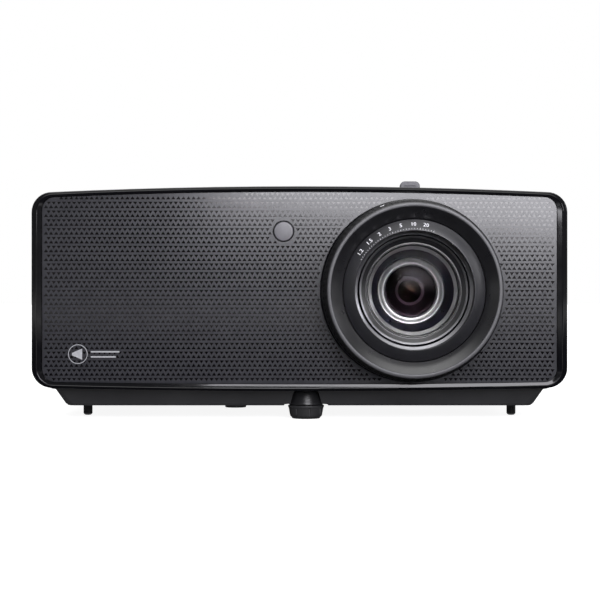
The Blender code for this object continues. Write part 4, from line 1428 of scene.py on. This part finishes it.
@dataclass
class Feet:
    """The three levelling feet and the two steady pegs."""

    front: Flat = (5.0, -114.0)
    rear_x: float = 150.0
    rear_y: float = 140.0
    peg_x: float = 166.0
    peg_y: float = -78.0
    grooves: int = 8

    def build_front(self) -> None:
        """Collar with its polished skirt, grooved knob, coarse screw and rubber pad."""
        centre = (self.front[0], self.front[1], 0.0)
        collar = [
            (4.3, 20.8), (9.9, 20.8), (10.4, 20.2), (11.2, 17.4), (12.2, 13.6), (12.9, 11.6),
            (13.0, 10.9), (12.8, 10.6), (4.3, 10.6),
        ]
        settle(
            Bench.turned("foot_collar", collar, centre, Axis.Z, 72, 0.2),
            "root", "gloss_black_abs", "front_foot_collar", finish=HALF_GLOSS,
        )
        knob = [
            (0.0, 5.6), (4.3, 5.6), (4.3, 10.2), (13.3, 10.2), (13.75, 9.8), (13.5, 8.4),
            (13.2, 8.1), (12.3, 3.0), (11.9, 1.8), (11.2, 1.2), (0.0, 1.2),
        ]
        piece = Bench.turned("foot_knob", knob, centre, Axis.Z, 96, 0.15)
        self.groove(piece, centre, 12.95, (0.6, 8.0), 0.9)
        settle(
            piece, "front_foot_spin", "satin_black_abs", "front_foot_knob", finish=SATIN_BLACK
        )
        settle(
            Bench.turned("foot_screw", self.thread(4.0, 6.0, 46.0, 4.0), centre, Axis.Z, 40, 0.1),
            "front_foot_spin", "zinc_steel", "front_foot_screw", finish=ZINC,
        )
        self.pad("foot_pad", centre, 10.9, "front_foot", "front_foot_pad")

    def groove(
        self, piece: bpy.types.Object, centre: Point, radius: float, span: Flat, size: float
    ) -> None:
        """Cut finger grooves round a knob.

        Args:
            piece: the knob.
            centre: a point of its axis.
            radius: how far out the grooves' centres are.
            span: where they start and stop along the axis.
            size: their radius.
        """
        for i in range(self.grooves):
            angle = math.tau * (i + 0.25) / self.grooves
            start = (
                centre[0] + radius * math.cos(angle), centre[1] + radius * math.sin(angle), span[0]
            )
            drill = Bench.rod(f"groove_{i}", start, Axis.Z, span[1] - span[0], size, 12)
            Bench.cut(piece, drill)
        Bench.smooth(piece, 32.0)

    def thread(self, radius: float, low: float, high: float, lead: float) -> list[Flat]:
        """The profile of a coarse screw, with a flat-bottomed groove at each lead.

        Args:
            radius: the screw's radius.
            low: where it starts.
            high: where it ends.
            lead: how far apart the grooves are.

        Returns:
            Points of radius and height, for a turn.
        """
        points = [(0.0, low), (radius, low)]
        z = low + lead * 0.6
        while z + lead < high - lead:
            points += [
                (radius, z), (radius - 0.5, z + lead * 0.15), (radius - 0.5, z + lead * 0.4),
                (radius, z + lead * 0.55),
            ]
            z += lead
        return [*points, (radius, high - 1.2), (radius * 0.8, high), (0.0, high)]

    def pad(self, name: str, centre: Point, radius: float, body: str, node: str) -> None:
        """A moulded rubber pad with a shallow rim on its underside.

        Args:
            name: the pad's name.
            centre: a point of its axis.
            radius: its radius.
            body: the body that it rides on.
            node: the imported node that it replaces.
        """
        profile = [
            (0.0, 0.9), (radius, 0.9), (radius - 0.1, 0.5), (radius - 0.6, 0.0),
            (radius - 2.2, 0.0), (radius - 2.6, 0.25), (0.0, 0.25),
        ]
        settle(
            Bench.turned(name, profile, centre, Axis.Z, 64, 0.08),
            body, "rubber", node, finish=RUBBER,
        )

    def build_rear(self) -> None:
        """The two smaller rear feet: stem, flange and knurled knob, each with its pad."""
        for side, x in (("left", -self.rear_x), ("right", self.rear_x)):
            centre = (x, self.rear_y, 0.0)
            knob = [
                (0.0, 30.0), (2.4, 30.0), (3.0, 29.4), (3.0, 9.7), (9.5, 9.7), (10.0, 9.2),
                (9.8, 7.9), (9.55, 7.6), (9.3, 2.0), (8.8, 1.2), (0.0, 1.2),
            ]
            piece = Bench.turned(f"rear_{side}_knob", knob, centre, Axis.Z, 72, 0.15)
            self.groove(piece, centre, 10.0, (0.6, 7.4), 0.8)
            settle(
                piece, f"rear_{side}_foot_spin", "satin_black_abs", f"rear_{side}_foot_knob",
                finish=SATIN_BLACK,
            )
            self.pad(
                f"rear_{side}_pad", centre, 8.6, f"rear_{side}_foot", f"rear_{side}_foot_pad"
            )

    def build_pegs(self) -> None:
        """The two polished pegs with rounded ends."""
        profile = [
            (0.0, 0.0), (1.9, 0.0), (2.9, 0.5), (3.5, 1.5), (3.5, 20.4), (3.0, 21.0), (0.0, 21.0)
        ]
        for side, x in (("left", -self.peg_x), ("right", self.peg_x)):
            settle(
                Bench.turned(f"peg_{side}", profile, (x, self.peg_y, 0.0), Axis.Z, 40, 0.2),
                "root", "gloss_black_abs", f"steady_peg_{side}", finish=HALF_GLOSS,
            )


@dataclass
class Controls:
    """The zoom lever and the keys with their printed signs."""

    lever_x: float = 83.7
    lever_front: float = -123.0
    lever_back: float = -116.0
    key_top: float = 176.0
    key_foot: float = 170.2
    sign_height: float = 0.05

    def build_lever(self) -> None:
        """Loft the lever's outline front to back, then groove its grip."""
        x = self.lever_x
        right = [(5.0, 151.7), (5.0, 167.5), (7.5, 170.0)] + arc((3.9, 176.4), 3.6, 0, 90, 6)
        left = [(-a, b) for a, b in reversed(right)]
        outline = [(x + a, b) for a, b in right + left]
        inner = [(x + (a - x) * 0.93, 151.7 + (b - 151.7) * 0.988) for a, b in outline]
        rows = (
            (inner, self.lever_front), (outline, self.lever_front + 0.7),
            (outline, self.lever_back - 0.7), (inner, self.lever_back),
        )
        loops = [[(a, y, b) for a, b in flat] for flat, y in rows]
        lever = Bench.lofted("zoom_tab", loops, closed=False)
        for i in range(3):
            height = 172.4 + 2.0 * i
            for y in (self.lever_front, self.lever_back):
                start = (x - 4.6, y, height)
                Bench.cut(lever, Bench.rod(f"grip_{i}", start, Axis.X, 9.2, 0.45, 12))
        Bench.smooth(lever, 38.0)
        settle(lever, "zoom", "key_grey_abs", "zoom_lever", finish=KEY_GREY)

    def key(self, name: str, place: Flat, size: Flat) -> None:
        """One key: a rounded cap with a shallow dish, over its stem.

        Args:
            name: the key's name, as in its body and node.
            place: its centre.
            size: its width and depth; the same value twice gives a round key.
        """
        x, y = place
        if name in ("power", "enter"):
            r = size[0] / 2
            profile = [
                (0.0, self.key_top - 0.55), (r * 0.45, self.key_top - 0.45),
                (r - 0.9, self.key_top - 0.05), (r - 0.4, self.key_top - 0.02),
                (r, self.key_top - 0.5), (r, self.key_foot), (0.0, self.key_foot),
            ]
            cap = Bench.turned(f"key_{name}", profile, (x, y, 0.0), Axis.Z, 48, 0.12)
        else:
            u, v = size[0] / 2, size[1] / 2
            cap = Bench.block(
                f"key_{name}", (x - u, y - v, self.key_foot), (x + u, y + v, self.key_top), 0.55
            )
            Bench.edit(cap)
            Bench.pick(cap, lambda p, n: n.z > 0.9 and p.z > self.key_top - 0.1)
            bpy.ops.mesh.inset(thickness=0.9 * MM)
            bpy.ops.transform.translate(value=(0.0, 0.0, -0.3 * MM))
            Bench.done(cap)
            Bench.smooth(cap, 40.0)
        settle(
            cap, f"button_{name}", "key_grey_abs", f"button_{name}", finish=KEY_GREY
        )

    def sign(self, name: str, key: str, shapes: Sequence[Sequence[Flat]], place: Flat) -> None:
        """Print a plain sign on a key from its outlines, given round the key's centre.

        Args:
            name: the sign's name.
            key: the key that carries it.
            shapes: its closed outlines.
            place: the key's centre.
        """
        x, y = place
        z = self.key_top - (0.5 if key in ("power", "enter") else 0.3)
        parts = []
        for i, shape in enumerate(shapes):
            low = [(x + u, y + v, z - 0.02) for u, v in shape]
            high = [(a, b, z + self.sign_height) for a, b, _ in low]
            parts.append(Bench.lofted(f"{name}_{i}", [low, high], closed=False))
        settle(Bench.joined(name, parts), f"button_{key}", "key_grey_abs", finish=PALE_INK)

    def build_keys(self) -> None:
        """Make the eight keys and print their signs."""
        places = {
            "power": ((-33.0, 99.0), (11.2, 11.2)), "enter": ((6.0, 89.0), (12.0, 12.0)),
            "menu": ((-33.0, 79.0), (12.0, 7.0)), "source": ((37.0, 99.0), (11.0, 7.0)),
            "up": ((6.0, 103.0), (12.0, 6.0)), "down": ((6.0, 75.0), (12.0, 6.0)),
            "left": ((-10.0, 89.0), (6.0, 12.0)), "right": ((22.0, 89.0), (6.0, 12.0)),
        }
        for name, (place, size) in places.items():
            self.key(name, place, size)
        head = [(-1.6, -0.8), (1.6, -0.8), (0.0, 1.1)]
        turns = {"up": 0, "left": 90, "down": 180, "right": 270}
        for name, degrees in turns.items():
            c, t = math.cos(math.radians(degrees)), math.sin(math.radians(degrees))
            shape = [(u * c - v * t, u * t + v * c) for u, v in head]
            self.sign(f"arrow_{name}", name, [shape], places[name][0])
        ring = arc((0.0, 0.0), 2.2, 120, 420, 20) + arc((0.0, 0.0), 1.7, 420, 120, 20)
        bar = [(-0.25, 0.4), (0.25, 0.4), (0.25, 2.8), (-0.25, 2.8)]
        self.sign("power_sign", "power", [ring, bar], places["power"][0])
        dot = arc((0.0, 0.0), 1.3, 0, 345, 23)
        self.sign("enter_sign", "enter", [dot], places["enter"][0])
        lines = [[(-1.8, v), (1.8, v), (1.8, v + 0.4), (-1.8, v + 0.4)] for v in (-1.2, -0.2, 0.8)]
        self.sign("menu_sign", "menu", lines, places["menu"][0])
        frame = [(-2.0, -1.1), (2.0, -1.1), (2.0, -0.7), (-2.0, -0.7)]
        wedge = [(-1.0, 0.0), (1.0, 0.0), (0.0, 1.2)]
        self.sign("source_sign", "source", [frame, wedge], places["source"][0])


@dataclass
class Details:
    """Small fittings: contacts inside the sockets, inlet blades and case screws."""

    hdmi_x: tuple[float, ...] = (-20.0, -48.0)
    contact_count: int = 10
    spring_count: int = 8
    inlet: Flat = (150.0, 62.0)
    screw_places: tuple[Flat, ...] = (
        (-120.0, -95.0), (120.0, -95.0), (-165.0, 30.0), (165.0, 30.0), (-90.0, 150.0),
        (90.0, 150.0),
    )
    base_z: float = 10.1

    def build_contacts(self) -> None:
        """Tongues with gilt strips in the sockets, and eight springs in the network socket."""
        for i, x in enumerate(self.hdmi_x):
            tongue = Bench.block(
                f"hdmi_tongue_{i}", (x - 5.4, 166.5, 55.0), (x + 5.4, 174.0, 55.9), 0.15
            )
            settle(tongue, "root", "port_nylon", finish=NYLON)
            strips = [
                Bench.block(
                    f"strip_{i}_{k}", (x - 4.7 + k, 167.0, 55.85), (x - 4.25 + k, 173.6, 56.0), 0.02
                )
                for k in range(self.contact_count)
            ]
            settle(
                Bench.joined(f"hdmi_contacts_{i}", strips), "root", "port_steel", finish=CONTACT
            )
        springs = [
            Bench.block(f"spring_{k}", (-111.8 + k, 163.5, 56.8), (-111.35 + k, 171.5, 57.1), 0.05)
            for k in range(self.spring_count)
        ]
        settle(Bench.joined("network_springs", springs), "root", "port_steel", finish=CONTACT)

    def build_blades(self) -> None:
        """The inlet's three blades with rounded tips."""
        blades = []
        for i, (u, v) in enumerate(((-7.0, -2.0), (0.0, 2.0), (7.0, -2.0))):
            x, z = self.inlet[0] + u, self.inlet[1] + v
            low, high = (x - 1.0, 162.2, z - 2.0), (x + 1.0, 175.5, z + 2.0)
            blades.append(Bench.block(f"blade_{i}", low, high, 0.5))
        settle(Bench.joined("inlet_blades", blades), "root", "port_steel", finish=PORT_STEEL)

    def build_screws(self) -> None:
        """Turn one pan-head screw with a cross recess, and copy it to each place."""
        profile = [(0.0, 0.2), (2.6, 0.2), (3.0, 0.0), (2.9, -0.5), (2.0, -1.0), (0.0, -1.15)]
        first = Bench.turned("case_screw_0", profile, (0.0, 0.0, 0.0), Axis.Z, 32, 0.1)
        for i, (u, v) in enumerate(((2.0, 0.35), (0.35, 2.0))):
            Bench.cut(first, Bench.block(f"recess_{i}", (-u, -v, -2.0), (u, v, -0.55)))
        Bench.smooth(first, 32.0)
        ZINC.dress(first)
        x, y = self.screw_places[0]
        for i, place in enumerate(self.screw_places[1:], 1):
            move = Matrix.Translation(Vector((*place, self.base_z)) * MM)
            settle(Bench.copied(first, f"case_screw_{i}", move), "root", "zinc_steel")
        first.matrix_world = Matrix.Translation(Vector((x, y, self.base_z)) * MM)
        settle(Bench.done(first), "root", "zinc_steel")


@dataclass(frozen=True)
class SoftBox:
    """One soft box: its place and aim in metres, its size, its power and its roll."""

    name: str
    place: Point
    aim: Point
    size: Flat
    watts: float
    roll: float = 0.0

    def hang(self, tint: Point) -> None:
        """Hang the box, out of the camera's sight.

        Args:
            tint: the colour of its light.
        """
        light = bpy.data.lights.new(self.name, "AREA")
        light.shape = "RECTANGLE"
        light.size, light.size_y = self.size
        light.energy = self.watts
        light.color = tint
        holder = bpy.data.objects.new(self.name, light)
        holder.location = self.place
        direction = Vector(self.aim) - Vector(self.place)
        facing = direction.to_track_quat("-Z", "Y").to_matrix()
        facing @= Matrix.Rotation(math.radians(self.roll), 3, "Z")
        holder.rotation_euler = facing.to_euler()
        holder.visible_camera = False
        bpy.context.scene.collection.objects.link(holder)
        log.info("%s hung, %.0f W", self.name, self.watts)


@dataclass
class Studio:
    """Pale floor, plain soft light and the camera; its places are in metres."""

    tint: Point = (0.96, 0.95, 1.0)
    focal_mm: float = 96.6
    sensor_mm: float = 36.0
    camera_place: Point = (0.0004, -1.342, 0.0901)
    floor_size: float = 60.0
    flag_place: Point = (0.0, -1.8, 0.0012)
    flag_size: Flat = (3.6, 4.4)
    sky_strength: Flat = (0.2, 2.8)
    sky_rise: Flat = (0.6, 0.98)
    boxes: tuple[SoftBox, ...] = (
        SoftBox("key_box", (0.33, -1.5, 0.6), (0.33, 0.0, 0.6), (0.88, 0.8), 31.0, -6.0),
        SoftBox("side_box", (1.05, -0.62, 0.42), (0.0, -0.14, 0.08), (0.3, 0.3), 2.0),
    )

    def build_camera(self) -> None:
        """Stand the camera level in front of the projector."""
        camera = bpy.data.cameras.new("camera")
        camera.lens = self.focal_mm
        camera.sensor_width = self.sensor_mm
        holder = bpy.data.objects.new("camera", camera)
        holder.location = self.camera_place
        holder.rotation_euler = (math.pi / 2, 0.0, 0.0)
        bpy.context.scene.collection.objects.link(holder)
        bpy.context.scene.camera = holder

    def build_floor(self) -> None:
        """Lay a large pale floor."""
        Bench.clear()
        bpy.ops.mesh.primitive_plane_add(size=self.floor_size)
        floor = Bench.named("floor")
        paint = Finish(
            "pale_floor_paint", "#a6a6a6", "#acacac", 0.8, 0.02, cloud_mm=900.0,
            specular=0.1, glow=0.9,
        )
        paint.dress(floor)

    def build_sky(self) -> None:
        """Plain world light: bright overhead, dim elsewhere, with a plain white backdrop."""
        world = bpy.data.worlds.new("studio")
        bpy.context.scene.world = world
        world.use_nodes = True
        tree = world.node_tree
        place = add_node(tree, "ShaderNodeTexCoord", {}).outputs["Generated"]
        parts = add_node(tree, "ShaderNodeSeparateXYZ", {0: place})
        above = add_node(
            tree, "ShaderNodeMapRange",
            {
                "Value": parts.outputs["Z"],
                1: self.sky_rise[0],
                2: self.sky_rise[1],
                3: self.sky_strength[0],
                4: self.sky_strength[1],
            },
            interpolation_type="SMOOTHSTEP",
        )
        seen = add_node(tree, "ShaderNodeLightPath", {}).outputs["Is Camera Ray"]
        shown = add_node(
            tree, "ShaderNodeMix", {0: seen, 2: above.outputs[0], 3: 1.0}, data_type="FLOAT"
        )
        tree.links.new(shown.outputs[0], tree.nodes["Background"].inputs["Strength"])
        tree.nodes["Background"].inputs["Color"].default_value = (1.0, 1.0, 1.0, 1.0)

    def build_floor_flag(self) -> None:
        """A black cloth that keeps the floor's glare off the underside; cameras don't see it."""
        Bench.clear()
        bpy.ops.mesh.primitive_plane_add(size=1.0, location=self.flag_place)
        flag = Bench.named("floor_flag")
        flag.scale = (*self.flag_size, 1.0)
        Bench.done(flag)
        Finish("black_flag_cloth", "#050505", "#080808", 0.9, 0.02, specular=0.0).dress(flag)
        flag.visible_camera = False
        flag.visible_shadow = False
        flag.visible_diffuse = False

    def build(self) -> None:
        """Set up the whole studio."""
        self.build_camera()
        self.build_floor()
        self.build_floor_flag()
        self.build_sky()
        for box in self.boxes:
            box.hang(self.tint)
        bpy.context.scene.view_settings.view_transform = "Standard"


@dataclass
class Carried:
    """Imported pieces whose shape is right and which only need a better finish."""

    finishes: tuple[tuple[Finish, tuple[str, ...]], ...] = (
        (DULL_BLACK, ("bottom_case",)),
        (SATIN_BLACK, ("top_cover", "rear_panel", "intake_grille",
                       "exhaust_grille", "intake_fan_frame", "exhaust_fan_frame",
                       "intake_fan_rotor", "exhaust_fan_rotor")),
        (GLOSS_BLACK, ("keypad_bezel",)),
        (BLACK_ANODISED, ("zoom_ring",)),
        (CLEAR_GLASS, ("rear_lens_glass", "prism_block")),
        (ZINC, ("power_supply",)),
        (PORT_STEEL, ("hdmi_port_1", "hdmi_port_2", "usb_port", "lan_port")),
        (NYLON, ("power_inlet",)),
        (BOARD, ("dmd_board", "main_board")),
        (CASTING, ("engine_chassis", "laser_bank")),
        (EXTRUSION, ("dmd_heatsink", "laser_heatsink", "light_tunnel")),
        (PHOSPHOR, ("phosphor_wheel",)),
        (LIGHT_GUIDE, ("status_light",)),
    )

    def dress(self, nodes: dict[str, bpy.types.Object]) -> None:
        """Give each carried piece its finish.

        Args:
            nodes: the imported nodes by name.
        """
        for finish, names in self.finishes:
            for name in names:
                if name in nodes and not nodes[name].hide_render:
                    finish.dress(nodes[name])
                    log.info("%s dressed in %s", name, finish.name)


def main() -> None:
    """Build the projector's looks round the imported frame."""
    logging.basicConfig(level=logging.INFO, format="%(message)s")
    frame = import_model()
    front = FrontFrame()
    front.build_bezel()
    front.build_panel()
    front.build_window()
    front.build_mark()
    lens = Lens()
    lens.build_rings()
    lens.build_scale()
    lens.build_cells()
    feet = Feet()
    feet.build_front()
    feet.build_rear()
    feet.build_pegs()
    controls = Controls()
    controls.build_lever()
    controls.build_keys()
    details = Details()
    details.build_contacts()
    details.build_blades()
    details.build_screws()
    Carried().dress(frame["nodes"])
    Studio().build()


if __name__ == "__main__":
    main()
